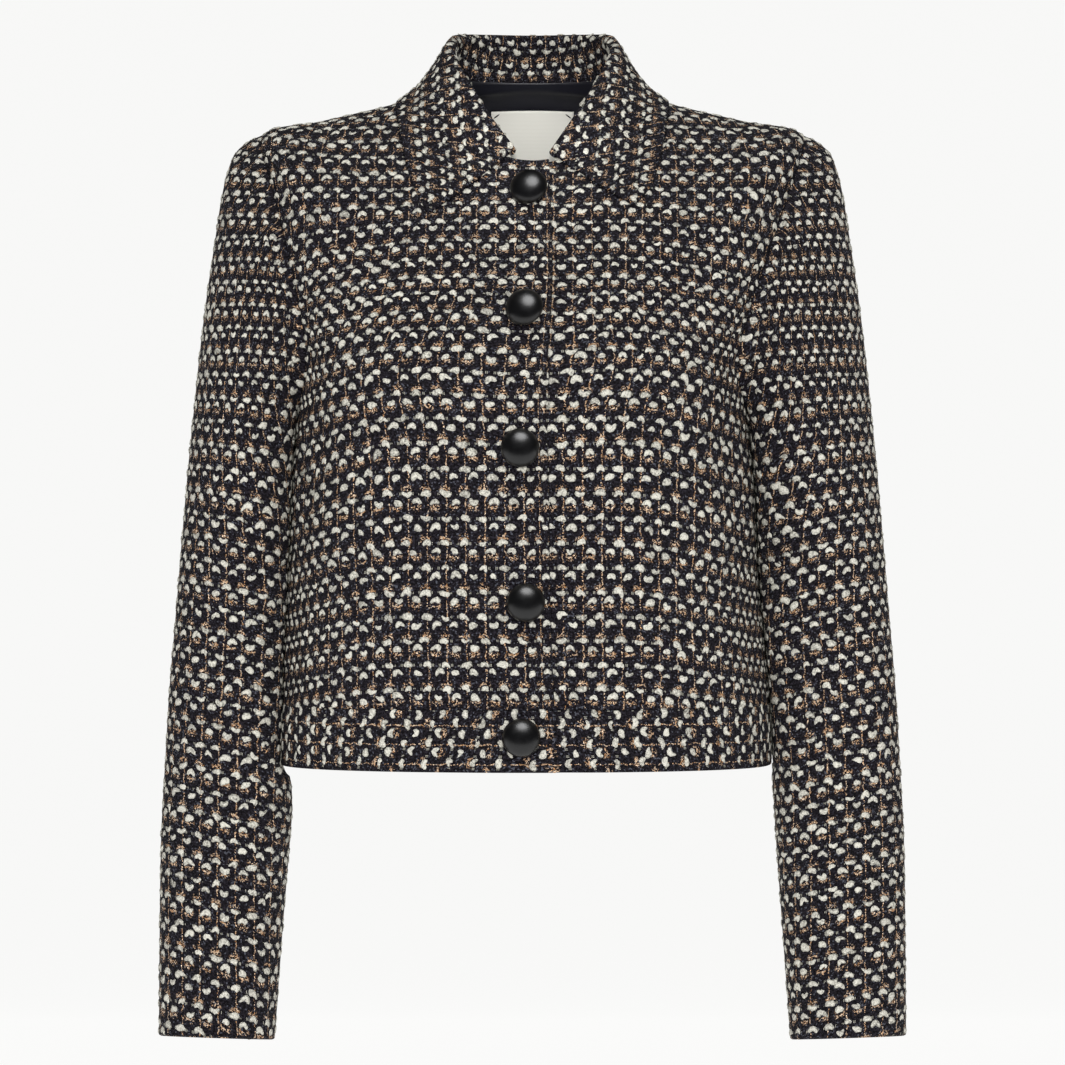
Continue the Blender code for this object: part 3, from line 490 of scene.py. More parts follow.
def along(rows, place):
    """The rows at places between them, smooth through each row. The rows may be grids of points too."""
    last = len(rows) - 1
    i = np.clip(np.floor(place).astype(int), 0, last - 1)
    f = (place - i).reshape(np.shape(place) + (1,) * (rows.ndim - 1))
    b, c = rows[i], rows[i + 1]
    first, end = (i == 0).reshape(f.shape), (i + 2 > last).reshape(f.shape)
    a = np.where(first, 2 * b - c, rows[np.maximum(i - 1, 0)])
    d = np.where(end, 2 * c - b, rows[np.minimum(i + 2, last)])
    return b + 0.5 * f * (c - a + f * (2 * a - 5 * b + 4 * c - d + f * (3 * (b - c) + d - a)))


def smooth(low, high, value):
    """0 at low, 1 at high, and an even rise between them."""
    f = np.clip((value - low) / (high - low), 0, 1)
    return f * f * (3 - 2 * f)


def oval(angle, squareness):
    """Across and ahead on a unit ring: a circle at squareness 2, squarer above it."""
    across, ahead = np.sin(angle), np.cos(angle)
    size = (np.abs(across) ** squareness + np.abs(ahead) ** squareness) ** (-1 / squareness)
    return across * size, ahead * size


def body_form(angle, place):
    """The body's outer surface before its folds. Angle 0 is the centre front, pi the centre back."""
    angle, place = np.broadcast_arrays(np.asarray(angle, float), np.asarray(place, float))
    row = np.moveaxis(along(BODY_ROWS, place), -1, 0)
    half, front, back, z_front, z_side, z_back, squareness, sway = row
    across, ahead = oval(angle, squareness)
    z_end, depth = np.where(ahead > 0, z_front, z_back), np.where(ahead > 0, front, back)
    z = z_side + (z_end - z_side) * np.cos(angle) ** 2
    return np.stack((sway + half * across, -depth * ahead, z), -1)


def body_normal(angle, place, step=1e-3):
    round_it = body_form(angle + step, place) - body_form(angle - step, place)
    down_it = body_form(angle, place + step) - body_form(angle, place - step)
    return unit(np.cross(down_it, round_it))


def fold_depth(folds, degrees, z):
    """How far soft folds move the cloth out."""
    total = 0.0
    for middle, reach, z_middle, z_reach, depth, slant in folds:
        off = ((degrees - middle - slant * (z_middle - z) / 100 + 180) % 360 - 180) / reach
        total = total + depth * np.exp(-off * off - ((z - z_middle) / z_reach) ** 2)
    return total


def body_surface(angle, place, lift=0.0):
    point = body_form(angle, place)
    depth = fold_depth(BODY_FOLDS, np.degrees(angle), point[..., 2]) + lift
    return point + depth[..., None] * body_normal(angle, place)


def angle_at_depth(place, depth, behind):
    """The ring angle where the ring passes a depth before or behind the side seam."""
    row = along(BODY_ROWS, place)
    full, squareness = row[..., 2 if behind else 1], row[..., 6]
    angle = np.arctan(np.maximum((full / np.maximum(depth, 1e-6)) ** squareness - 1, 0) ** (1 / squareness))
    return np.pi - angle if behind else angle


def armhole(turn):
    """The armhole's ring angles and places. Turn 0 is the shoulder point, pi the underarm."""
    turn = np.asarray(turn, float)
    z = (ARMHOLE_TOP + ARMHOLE_BOTTOM) / 2 + (ARMHOLE_TOP - ARMHOLE_BOTTOM) / 2 * np.cos(turn)
    egg = np.abs(np.sin(turn)) * (1 - ARMHOLE_EGG * np.cos(turn))
    angle, place = np.zeros_like(turn), np.zeros_like(turn)
    for behind, full in ((False, ARMHOLE_FRONT), (True, ARMHOLE_BACK)):
        mine = (np.sin(turn) < 0) == behind
        depth = egg[mine] * full
        low = np.full(depth.shape, float(RING["mid shoulder"]))
        high = np.full(depth.shape, float(RING["under bust"]))
        for _ in range(32):
            middle = (low + high) / 2
            above = body_form(angle_at_depth(middle, depth, behind), middle)[..., 2] > z[mine]
            low, high = np.where(above, middle, low), np.where(above, high, middle)
        angle[mine], place[mine] = angle_at_depth(low, depth, behind), low
    return angle, place


def lap_edge(place):
    return LAP_AT_NECK + (LAP_AT_HEM - LAP_AT_NECK) * place / RING["hem"]


def lap_angle(place, offset):
    """The ring angle that lies offset past the centre front."""
    row = along(BODY_ROWS, place)
    share = np.minimum((np.abs(offset) / row[..., 0]) ** row[..., 6], 0.9999)
    return np.copysign(np.arctan((share / (1 - share)) ** (1 / row[..., 6])), offset)


def centre_offset(angle, place):
    return body_form(angle, place)[..., 0] - along(BODY_ROWS, place)[..., 7]


def over_lap(angle, place):
    return LAP_LIFT * smooth(LAP_RISE_FROM, -UNDER_LAP - 2, centre_offset(angle, place))


def under_lap(angle, place):
    edge = lap_edge(place)
    gone = smooth(edge + LAP_SINK_KEPT, edge + LAP_SINK_GONE, centre_offset(angle, place))
    return -LAP_SINK * (1 - gone)


def outer_edge(row, behind):
    """Ring angles and places down a panel's outer edge: shoulder seam, armhole and side seam."""
    sign = -1 if behind else 1
    corner, underarm = SHOULDER_STEPS, SHOULDER_STEPS + ARMHOLE_STEPS
    turn = np.clip(row - corner, 0, ARMHOLE_STEPS) * np.pi / ARMHOLE_STEPS
    angle, place = armhole(sign * np.clip(turn, 1e-4, np.pi - 1e-4))
    place = np.where(row < corner, row / corner * RING["shoulder point"], place)
    side = RING["underarm"] + (row - underarm) / SIDE_STEPS * (RING["band seam"] - RING["underarm"])
    place = np.where(row > underarm, side, place)
    gap = SEAM / 2 / along(BODY_ROWS, place)[..., 2 if behind else 1]
    on_seam = (row < corner) | (row > underarm)
    return np.where(on_seam, SIDE - sign * gap, angle), place


def panel_grid(start_angle, behind, columns):
    """Angles and places of a panel's fine grid, from its centre line to its outer edge."""
    last = SHOULDER_STEPS + ARMHOLE_STEPS + SIDE_STEPS
    corners = (SHOULDER_STEPS, SHOULDER_STEPS + ARMHOLE_STEPS)
    row = np.sort(np.concatenate((graded(100, 430) * last, corners)))
    edge_angle, edge_place = (grid[:, None] for grid in outer_edge(row, behind))
    share = graded(columns, 200)[None]
    even = row[:, None] / last * edge_place[-1]
    place = even + (edge_place - even) * share**2
    start = start_angle(place)
    return start + (edge_angle - start) * share, place


FALL_AT_SIDE, FALL_AT_CHEST, FALL_AT_CENTRE = 22.0, 6.0, 3.5  # how far rows fall there below a level line
BOW = 6.5  # how far the bust pushes the cloth's length threads outwards
EASED = 0.0007  # how fast the threads spread towards the side, where the cloth is eased in
SHOULDER_DRAW = 0.15  # how much closer they lie on the shoulder
WAIST_DRAW = 0.0022  # and how fast they draw together towards the side at the waist


class Grain:
    """Where points of a round form lie on its cloth: its width round it and its length down it.

    turns are angles round the form from the line where the width is 0. steps has the width between them at
    each height, and steep the run of the cloth for each millimetre down.
    """

    def __init__(self, turns, heights, steps, steep, level):
        self.turns, self.heights = turns, heights
        self.width = np.insert(np.cumsum(steps, axis=0), 0, 0, axis=0)
        self.length = np.zeros_like(self.width)
        start, drop = int(np.argmin(np.abs(heights - level))), heights[0] - heights[1]
        for way, stop in ((1, len(heights)), (-1, -1)):
            for j in range(start + way, stop, way):
                before = np.interp(self.width[:, j], self.width[:, j - way], self.length[:, j - way])
                self.length[:, j] = before + way * drop * (steep[:, j] + steep[:, j - way]) / 2

    def find(self, turn, z):
        a = (np.abs(turn) - self.turns[0]) / (self.turns[1] - self.turns[0])
        b = (self.heights[0] - z) / (self.heights[0] - self.heights[1])
        a, b = np.clip(a, 0, len(self.turns) - 1.001), np.clip(b, 0, len(self.heights) - 1.001)
        i, j = np.floor(a).astype(int), np.floor(b).astype(int)
        fa, fb = a - i, b - j
        for grid in (self.width, self.length):
            top = grid[i, j] * (1 - fa) + grid[i + 1, j] * fa
            low = grid[i, j + 1] * (1 - fa) + grid[i + 1, j + 1] * fa
            yield top * (1 - fb) + low * fb


def steepness(normal_z):
    return 1 / np.sqrt(np.maximum(1 - normal_z**2, 0.06))


def body_grain(centre, packed):
    """The body's grain from its centre front at turn 0, or from its centre back at pi, to the side seam."""
    turns, heights = np.linspace(centre, SIDE, 61), np.arange(18.0, -418.0, -2.0)
    fine = np.linspace(0, RING["band seam"] + 0.4, 321)
    place = np.array([np.interp(-heights, -body_form(turn, fine)[:, 2], fine) for turn in turns])
    steps = np.linalg.norm(np.diff(body_form(turns[:, None], place)[..., :2], axis=0), axis=2)
    steep = steepness(body_normal(turns[:, None], place)[..., 2]) * packed(turns[:, None], heights)
    return Grain(turns, heights, steps, steep, -205)


def bell(value, middle, reach):
    return np.exp(-(((value - middle) / reach) ** 2))


def packed_front(turn, z):
    """How much closer the rows lie: where the chest falls back, and below the shoulder's end."""
    chest = 0.37 * bell(z, -140, 43) - 0.03 * bell(z, -235, 55) + 0.02 * smooth(-300, -360, z)
    return 1 + chest + 0.25 * smooth(0.2, 0.8, turn) * bell(z, -74, 30)


front_grain = body_grain(0.0, packed_front)
back_grain = body_grain(math.pi, lambda turn, z: 1.0)


def front_cloth(angle, place):
    """The fronts' width and length on the cloth. The wearer's right has a width below zero."""
    z = body_form(angle, place)[..., 2]
    width, length = front_grain.find(angle, z)
    bow_z = -178 - 0.25 * (width - 50)
    bow_reach = np.where(z > bow_z, 26, 40)
    bow = BOW * smooth(0, 50, width) * smooth(190, 140, width) * bell(z, bow_z, bow_reach)
    starts = np.where(angle > 0, 58, 72)
    fall = FALL_AT_SIDE * smooth(starts, 220, width) * smooth(-60, -150, z)
    fall = fall * (1 - 0.2 * smooth(-290, -400, z))
    fall = fall + FALL_AT_CHEST * smooth(48, 112, width) * bell(z, -105, 45)
    fall = fall + FALL_AT_CENTRE * bell(width, 0, 38) * bell(z, -185, 60)
    eased = width - EASED * np.maximum(width - 50, 0) ** 2 - bow
    eased = eased + SHOULDER_DRAW * np.maximum(width - 35, 0) * smooth(-195, -120, z)
    eased = eased + WAIST_DRAW * np.maximum(width - 80, 0) ** 2 * smooth(-285, -350, z)
    return np.stack((eased * np.sign(angle), length - fall), -1)


def back_cloth(angle, place):
    """The back's width and length on the cloth. The wearer's left has a width below zero."""
    z = body_form(angle, place)[..., 2]
    width, length = back_grain.find(math.pi - np.abs(angle - math.pi), z)
    fall = 0.7 * FALL_AT_SIDE * smooth(72, 220, width) * smooth(-60, -150, z)
    return np.stack((width * np.sign(angle - math.pi), length - fall), -1)


TOP, BOTTOM, LEFT, RIGHT = range(4)  # the order of a grid's edges
UNDERARM_DRAW, EDGE_DRAW = 20.0, 5.0


def drawn_in(points, cloth_mm, outer, inner):
    """The threads drawn closer at the underarm, where the front turns in, and along the front edge."""
    runs = from_edges(points)
    armpit = UNDERARM_DRAW * smooth(34, 0, runs[outer]) * bell(points[..., 2], -212, 58)
    edge = EDGE_DRAW * smooth(13, 0, runs[inner])
    drawn = cloth_mm.copy()
    drawn[..., 0] += np.sign(points[0, 0, 0] + points[0, -1, 0]) * (armpit - edge)
    return drawn


angle, place = panel_grid(lambda p: lap_angle(p, -lap_edge(p)), False, 58)
angle, place = -angle[:, ::-1], place[:, ::-1]
points = body_surface(angle, place, over_lap(angle, place))
cloth_mm = drawn_in(points, front_cloth(angle, place), LEFT, RIGHT)
tweed_piece("right_front", points, cloth_mm, 11, (SEWN, SEWN, SEWN, LAPPED))

angle, place = panel_grid(lambda p: lap_angle(p, -float(UNDER_LAP)), False, 58)
points = body_surface(angle, place, under_lap(angle, place))
cloth_mm = drawn_in(points, front_cloth(angle, place), RIGHT, LEFT)
tweed_piece("left_front", points, cloth_mm, 12, (SEWN, SEWN, TURNED, SEWN), keep=lambda at: at[:, 0] > 0)


# ---- The back ----
# One piece of the same tweed, on the straight grain, from the back neck seam to the waistband, with the
# shoulder seams, armholes and side seams of the fronts.

angle, place = panel_grid(lambda p: np.full_like(p, math.pi), True, 54)
angle = np.concatenate((angle[:, ::-1], 2 * math.pi - angle[:, 1:]), axis=1)
place = np.concatenate((place[:, ::-1], place[:, 1:]), axis=1)
points = body_surface(angle, place, np.zeros_like(angle))
tweed_piece("back", points, back_cloth(angle, place), 13, (SEWN, SEWN, SEWN, SEWN))


# ---- The waistband ----
# Three pieces of the tweed on the cross grain, sewn end to end and on to the body, so that the slubs stand
# upright and the lurex runs round. The lower edge is the hem, folded under.

BAND_PROUD = 0.4
BAND_ROWS = 12
BAND_GRAIN_TOP = -406  # the height of its first thread
BAND_LEAN = 0.18  # how far its upright threads lean outwards on the front, for each millimetre down


def band_piece(node, start, end, columns, lift, seed, rounds, keep=everywhere):
    top = RING["band seam"] + SEAM / (BODY_ROWS[-2][3] - BODY_ROWS[-1][3])
    place = (top + (RING["hem"] - top) * graded(BAND_ROWS, 40))[:, None]
    share = graded(columns, 180)[None]
    place = np.repeat(place, share.shape[1], axis=1)
    first, last = start(place), end(place)
    angle = first + (last - first) * share
    points = body_surface(angle, place, BAND_PROUD + lift(angle, place))
    steps = np.linalg.norm(np.diff(points, axis=1), axis=2)
    run = np.insert(np.cumsum(steps, axis=1), 0, 0, axis=1)
    centre = int(np.argmin(np.abs(points[0, :, 0])))
    run = run - run[:, centre : centre + 1]
    depth = BAND_GRAIN_TOP - points[..., 2]
    lean = BAND_LEAN * depth * np.sign(points[..., 0])
    run = run - lean * smooth(0, 25, np.abs(run)) * smooth(190, 90, np.abs(run))
    tweed_piece(node, points, np.stack((depth, run), -1), seed, rounds, keep)


def side_angle(place, behind):
    gap = SEAM / 2 / along(BODY_ROWS, place)[..., 2 if behind else 1]
    return SIDE + gap if behind else SIDE - gap


def right_edge(place):
    return -lap_angle(place, -lap_edge(place))


def under_edge(place):
    return lap_angle(place, -float(UNDER_LAP))


def no_lift(angle, place):
    return 0.0


ends = (lambda p: -side_angle(p, False), right_edge)
band_piece("right_front_band", *ends, 56, over_lap, 21, (SEWN, TURNED, SEWN, LAPPED))
ends, rounds = (under_edge, lambda p: side_angle(p, False)), (SEWN, TURNED, TURNED, SEWN)
band_piece("left_front_band", *ends, 56, under_lap, 22, rounds, keep=lambda at: at[:, 0] > 2)
ends = (lambda p: side_angle(p, True), lambda p: 2 * math.pi - side_angle(p, True))
band_piece("back_band", *ends, 104, no_lift, 23, (SEWN, TURNED, SEWN, SEWN))


# ---- The sleeves ----
# Each sleeve is an upper piece and a narrower under piece of the tweed, sewn along both their sides, set
# smoothly into the armhole and curved a little forward at the elbow. The cuffs are plain turned edges.

SLEEVE_RINGS = np.array([  # outer_z, inner_z, axis_y, front, back, armhole_share
    (-26, -220, 0, 56, 53, 1),
    (-31, -222.5, 0, 57.5, 54.5, 0.74),
    (-38.5, -227, 0, 59.5, 56.5, 0.48),
    (-51, -233, 0.5, 61.5, 58, 0.28),
    (-70, -240, 1, 62.5, 59, 0.14),
    (-98, -249, 2, 62.5, 60, 0.05),
    (-130, -260, 3, 62, 60, 0),
    (-165, -274, 4, 61, 59.5, 0),
    (-205, -292, 5, 59.5, 58.5, 0),
    (-250, -318, 6, 57, 57, 0),
    (-300, -352, 6, 54, 54.5, 0),
    (-352, -388, 4, 51.5, 52, 0),
    (-400, -420, 1.5, 49.5, 49.5, 0),
    (-445, -452, -3, 48, 48, 0),
    (-500, -502, -9, 46, 46.5, 0),
    (-565, -566.5, -17.5, 44, 44.5, 0),
    (-631.2, -633.7, -26.2, 42, 43, 0),
])
SLEEVE_OUTER = np.array([  # x and z down its outer line
    (181.7, -26), (192.2, -31), (200.3, -38.5), (205.5, -51), (208.9, -64), (213, -90), (217.2, -117),
    (222, -149), (228, -205), (234.6, -270), (239.5, -333), (245.5, -407), (249.8, -502), (250, -566),
    (249.7, -630),
])
SLEEVE_INNER = np.array([  # x and z down its inner line
    (152, -220), (151.5, -227), (151, -240), (152, -290), (154.5, -350), (158, -410), (161, -455),
    (164, -502), (168.8, -576), (172.6, -632),
])
SLEEVE_FOLDS = [  # turn, turn_reach, z_middle, z_reach, depth, slant
    (96, 26, -352, 13, -2.6, 90),
    (130, 30, -318, 12, -2.2, 120),
    (70, 30, -392, 14, -1.8, 60),
    (262, 18, -250, 60, -2.4, 6),
    (118, 14, -215, 42, -3.0, -8),
    (60, 20, -470, 16, -1.0, 60),
    (300, 22, -372, 16, -1.6, -70),
    (30, 12, -180, 60, -1.0, 10),
]
RIGHT_SWELLS = [(180, 38, -471, 27, 2.6, 0), (132, 30, -390, 110, 4.5, 0)]  # where it lies by the body
SLEEVE_SQUARENESS, SLEEVE_HEART_X = 2.15, 205.0
RIGHT_CLEAR, LEFT_CLEAR = 0.6, 1.7  # how far each sleeve stands off the body where it hangs against it
HEM_EASE = (-452, -480)  # heights over which it comes free of the body below the hem
ARMPIT_EASE = (-221, -215)  # and at the underarm
LEFT_SWAY_EASE = (-418, -452)  # over which the left one leaves the body's sway
SLEEVE_SEAM_STEP = 9
ROW_SLOPE, HEAD_SLOPE = 0.19, 0.03  # how fast the rows fall towards the body, below and at the head
ROW_SAG = 0.0095  # and how much faster the nearer they come to it
SLEEVE_EASE = 0.9  # of the sleeve's own width: the threads lie further apart there
SLEEVE_PACKED = 1.05  # and the rows closer
ARM_DRAW, FOREARM_DRAW = 1.9, 1.06  # of the width as seen from the front, above and below the elbow


def body_row_at(z):
    return along(BODY_ROWS, np.interp(-z, -BODY_ROWS[:, 4], np.arange(len(BODY_ROWS))))


def armhole_start(turn, side):
    """The sleeve's first points, a seam's gap off the armhole's edge."""
    angle, place = armhole(turn)
    edge = body_surface(side * angle, place)
    after, before = armhole(turn + 0.01), armhole(turn - 0.01)
    run = body_form(side * after[0], after[1]) - body_form(side * before[0], before[1])
    off = unit(np.cross(body_normal(side * angle, place), run))
    middle = np.stack((edge[:, 0], 0 * turn, 0 * turn + (ARMHOLE_TOP + ARMHOLE_BOTTOM) / 2), -1)
    flip = np.where(((middle - edge) * off).sum(-1) < 0, -1.0, 1.0)[:, None]
    return edge + off * flip * 1.2 * SEAM


def sleeve_rings(turn, side):
    """The sleeve's points on each of its rings, for turns round it."""
    outer_z, inner_z, axis_y, front, back, share = SLEEVE_RINGS.T
    sway_ease = HEM_EASE if side < 0 else LEFT_SWAY_EASE
    sway = body_row_at(inner_z)[:, 7] * (1 - smooth(*sway_ease, inner_z))
    top_x = np.interp(-outer_z, -SLEEVE_OUTER[:, 1], SLEEVE_OUTER[:, 0])
    low_x = np.interp(-inner_z, -SLEEVE_INNER[:, 1], SLEEVE_INNER[:, 0])
    top = np.stack((side * top_x, axis_y, outer_z), -1)
    low = np.stack((side * low_x + sway, axis_y, inner_z), -1)
    axis = (top + low) / 2
    run = np.concatenate((axis[1:2] - axis[:1], axis[2:] - axis[:-2], axis[-1:] - axis[-2:-1]))
    back_way = unit(np.stack((0 * axis_y, -run[:, 2], run[:, 1]), -1))
    across, ahead = oval(turn, SLEEVE_SQUARENESS)
    depth = np.where(across > 0, front[:, None], back[:, None]) * across
    points = axis[:, None] + ((top - low) / 2)[:, None] * ahead[None, :, None]
    points = points - back_way[:, None] * depth[..., None]
    armhole_form = armhole_start(turn, side) - points[0]
    return points + share[:, None, None] * armhole_form


def clear_of_body(points, side):
    """The points moved out to the side of the body where they would touch it."""
    x, y, z = np.moveaxis(points, -1, 0)
    row = body_row_at(z)
    half, squareness, sway = row[..., 0], row[..., 6], row[..., 7]
    share = np.minimum(np.abs(y) / np.where(y < 0, row[..., 1], row[..., 2]), 1.0)
    edge = half * (1 - share**squareness) ** (1 / squareness) + side * sway
    edge = edge + (RIGHT_CLEAR if side < 0 else LEFT_CLEAR)
    edge = edge - half * (smooth(*HEM_EASE, z) + smooth(*ARMPIT_EASE, z)) / 3
    out = np.where(z > ARMPIT_EASE[1], side * x, (side * x + edge + np.hypot(side * x - edge, 2)) / 2)
    return np.stack((side * out, y, z), -1)


def uneven_arm(z, side):
    """The rows lie closer at some heights and wider at others, as the sleeve hangs."""
    if side < 0:
        return 1 + 0.05 * bell(z, -492, 38) - 0.14 * bell(z, -600, 55)
    return 1 - 0.07 * bell(z, -412, 38) + 0.1 * bell(z, -486, 42)


def sleeve_grain(side, behind):
    """A sleeve's grain over its front or its back half, from its outer line at turn 0 to its inner line."""
    turns, heights = np.linspace(1e-3, math.pi - 1e-3, 61), np.arange(-24.0, -642.0, -2.0)
    rings = sleeve_rings(-turns if behind else turns, side)
    form = along(rings, np.linspace(0, len(SLEEVE_RINGS) - 1, 161))
    normal_z = normals_of(form)[..., 2]
    outline, steep = np.zeros((61, len(heights), 2)), np.zeros((61, len(heights)))
    for k in range(61):
        down = -form[:, k, 2]
        for axis in (0, 1):
            outline[k, :, axis] = np.interp(-heights, down, form[:, k, axis])
        steep[k] = steepness(np.interp(-heights, down, normal_z[:, k])) * SLEEVE_PACKED
        steep[k] *= uneven_arm(heights, side)
    steps = np.diff(outline, axis=0)
    off_inner = np.abs(outline[..., 0] - outline[-1, :, 0])
    inwards = 1 - off_inner[:-1] / off_inner[0]
    late = np.clip(250 * (inwards - 0.28), -60, 60)
    draw = smooth(-345, -165, heights - late) * (1 - 0.65 * smooth(-112, -66, heights))
    draw = draw * (0.3 if behind else 1)
    draw = FOREARM_DRAW + (ARM_DRAW - FOREARM_DRAW) * draw
    width = np.maximum(np.abs(steps[..., 0]) * draw, np.linalg.norm(steps, axis=2) * SLEEVE_EASE)
    return Grain(turns, heights, width, steep, -205)


def sleeve_cloth(turn, points, side):
    """A sleeve's width and length on the cloth. Its front half has a width above zero."""
    found = []
    outer_x = np.interp(-points[..., 2], -SLEEVE_OUTER[:, 1], SLEEVE_OUTER[:, 0])
    slope = HEAD_SLOPE + (ROW_SLOPE - HEAD_SLOPE) * smooth(-150, -290, points[..., 2])
    inwards = np.clip(outer_x - side * points[..., 0], 0, None)
    fall = slope * inwards * (0.45 + ROW_SAG * inwards)
    for behind in (False, True):
        grain = sleeve_grain(side, behind)
        own = np.where(np.abs(turn) > math.pi, 2 * math.pi - np.abs(turn), np.abs(turn))
        width, length = grain.find(own, points[..., 2])
        whole, _ = grain.find(0 * own + math.pi, points[..., 2])
        found.append((width, length - fall, whole))
    (front, front_length, whole_front), (back, back_length, whole_back) = found
    width = np.where(turn < 0, -back, np.where(turn > math.pi, whole_front + whole_back - back, front))
    length = np.where((turn < 0) | (turn > math.pi), back_length, front_length)
    return np.stack((width, length), -1)


def sleeve_piece(node, first, last, side, columns, seed):
    share = graded(columns, 230 if first < 0 else 100)
    turn = (first + (last - first) * share) * np.pi / ARMHOLE_STEPS
    rings = sleeve_rings(turn + 1e-4, side)
    place = graded(140, 600) ** 0.9 * (len(SLEEVE_RINGS) - 1)
    points = along(rings, place)
    out = points - np.array((side * SLEEVE_HEART_X, 0, 0))
    out[..., 2] = 0
    folds = SLEEVE_FOLDS + RIGHT_SWELLS if side < 0 else SLEEVE_FOLDS
    depth = fold_depth(folds, np.degrees(turn)[None] % 360, points[..., 2]) * smooth(3, 6, place)[:, None]
    points = clear_of_body(points + depth[..., None] * unit(out), side)
    cloth_mm = sleeve_cloth(np.broadcast_to(turn, points.shape[:2]), points, side)
    if side > 0:
        points, cloth_mm = points[:, ::-1], cloth_mm[:, ::-1]
    tweed_piece(node, points, cloth_mm, seed, (SEWN, TURNED, SEWN, SEWN))


for side, word, seed in ((-1, "right", 31), (1, "left", 41)):
    sleeve_piece(f"{word}_upper_sleeve", -SLEEVE_SEAM_STEP, SLEEVE_SEAM_STEP, side, 66, seed)
    under_end = 2 * ARMHOLE_STEPS - SLEEVE_SEAM_STEP
    sleeve_piece(f"{word}_under_sleeve", SLEEVE_SEAM_STEP, under_end, side, 30, seed + 1)


# ---- The collar ----
# One piece of tweed that stands at the neck and folds over along a soft roll, with two points that lie on
# the fronts. It is cut as a shallow curve, so its grain is straight at the centre back and slants on the
# leaves.

COLLAR_STATIONS = np.array([  # seam_angle, fold_x, fold_y, fold_z, edge_x, edge_y, edge_z
    (180, 0, 61, 48, 0, 86, 4),
    (150, 30, 56, 48, 42, 79, 2.5),
    (125, 46, 39, 46, 69, 58, -0.5),
    (105, 51, 22, 43, 83, 34, -3.5),
    (86, 53.2, 3, 36.2, 89.5, 8, -6.5),
    (67, 51.5, -15.5, 25.5, 91.5, -17, -9.5),
    (50, 45, -31, 11.5, 89.5, -40, -19.5),
    (36, 36, -42.5, -4, 85.5, -58, -41),
    (24, 25.5, -51, -21, 79.5, -72, -65),
    (14.5, 10.8, -60.5, -43, 68.6, -86, -87),
])
LEFT_LEAF_POINT, RIGHT_FOLD_END = (66.8, -83, -81.5), (10.5, -61.2, -41.6)
FOLD_RADIUS, LEAF_CLEAR, COLLAR_CLOTH, COLLAR_RISE = 2.4, 0.4, 3.0, 1.0
FALL_DROP, FALL_BEND, FALL_HOLLOW = 0.24, 0.34, 0.19
LEAF_THINS = 0.8  # pressed flatter towards its edge
COLLAR_PACKED, COLLAR_PACKED_DOWN = 1.25, 1.07  # how much closer the slubs lie, along it and down it
LEAF_TURN, STAND_HALF = 0.36, 75  # how fast the rows turn on the leaves, past the stand's half
STAND_STEPS, ROLL_STEPS, FALL_STEPS, COLLAR_COLUMNS = 12, 8, 24, 168


def cloth_point(angle, place):
    """The body's outer surface where the right front laps over the left one."""
    ahead = np.abs(angle) < SIDE
    lapped = centre_offset(angle, place) > lap_edge(place)
    lift = np.where(lapped, under_lap(angle, place), over_lap(angle, place)) * ahead
    return body_surface(angle, place, lift)


sample_angle, sample_place = np.meshgrid(np.linspace(-math.pi, math.pi, 181), np.linspace(0, 4, 81))
body_points = cloth_point(sample_angle, sample_place).reshape(-1, 3)
body_normals = body_normal(sample_angle, sample_place).reshape(-1, 3)
near_body = kdtree.KDTree(len(body_points))
for k, point in enumerate(body_points):
    near_body.insert(Vector(point), k)
near_body.balance()


def off_body(point, room):
    """The point moved out so that it stands at least room off the body."""
    k = near_body.find(Vector(point))[1]
    height = float(np.dot(point - body_points[k], body_normals[k]))
    return point + body_normals[k] * max(room - height, 0.0)


def bezier(a, b, c, d, f):
    g = 1 - f
    return g**3 * a + 3 * g * g * f * b + 3 * g * f * f * c + f**3 * d


def collar_station(share):
    """Seam angle, fold and edge at a share from -1, the wearer's right end, to 1."""
    rows = COLLAR_STATIONS.copy()
    if share > 0:
        rows[-1, 4:] = LEFT_LEAF_POINT
    else:
        rows[-1, 1:4] = RIGHT_FOLD_END
    mirror = rows[1] * (1, -1, 1, 1, -1, 1, 1)
    mirror[0] = 360 - mirror[0]
    row = along(np.concatenate((mirror[None], rows)), np.array(abs(share) * (len(rows) - 1) + 1))
    side = 1 if share > 0 else -1
    flip = np.array((side, 1, 1))
    return side * math.radians(row[0]), row[1:4] * flip, row[4:7] * flip


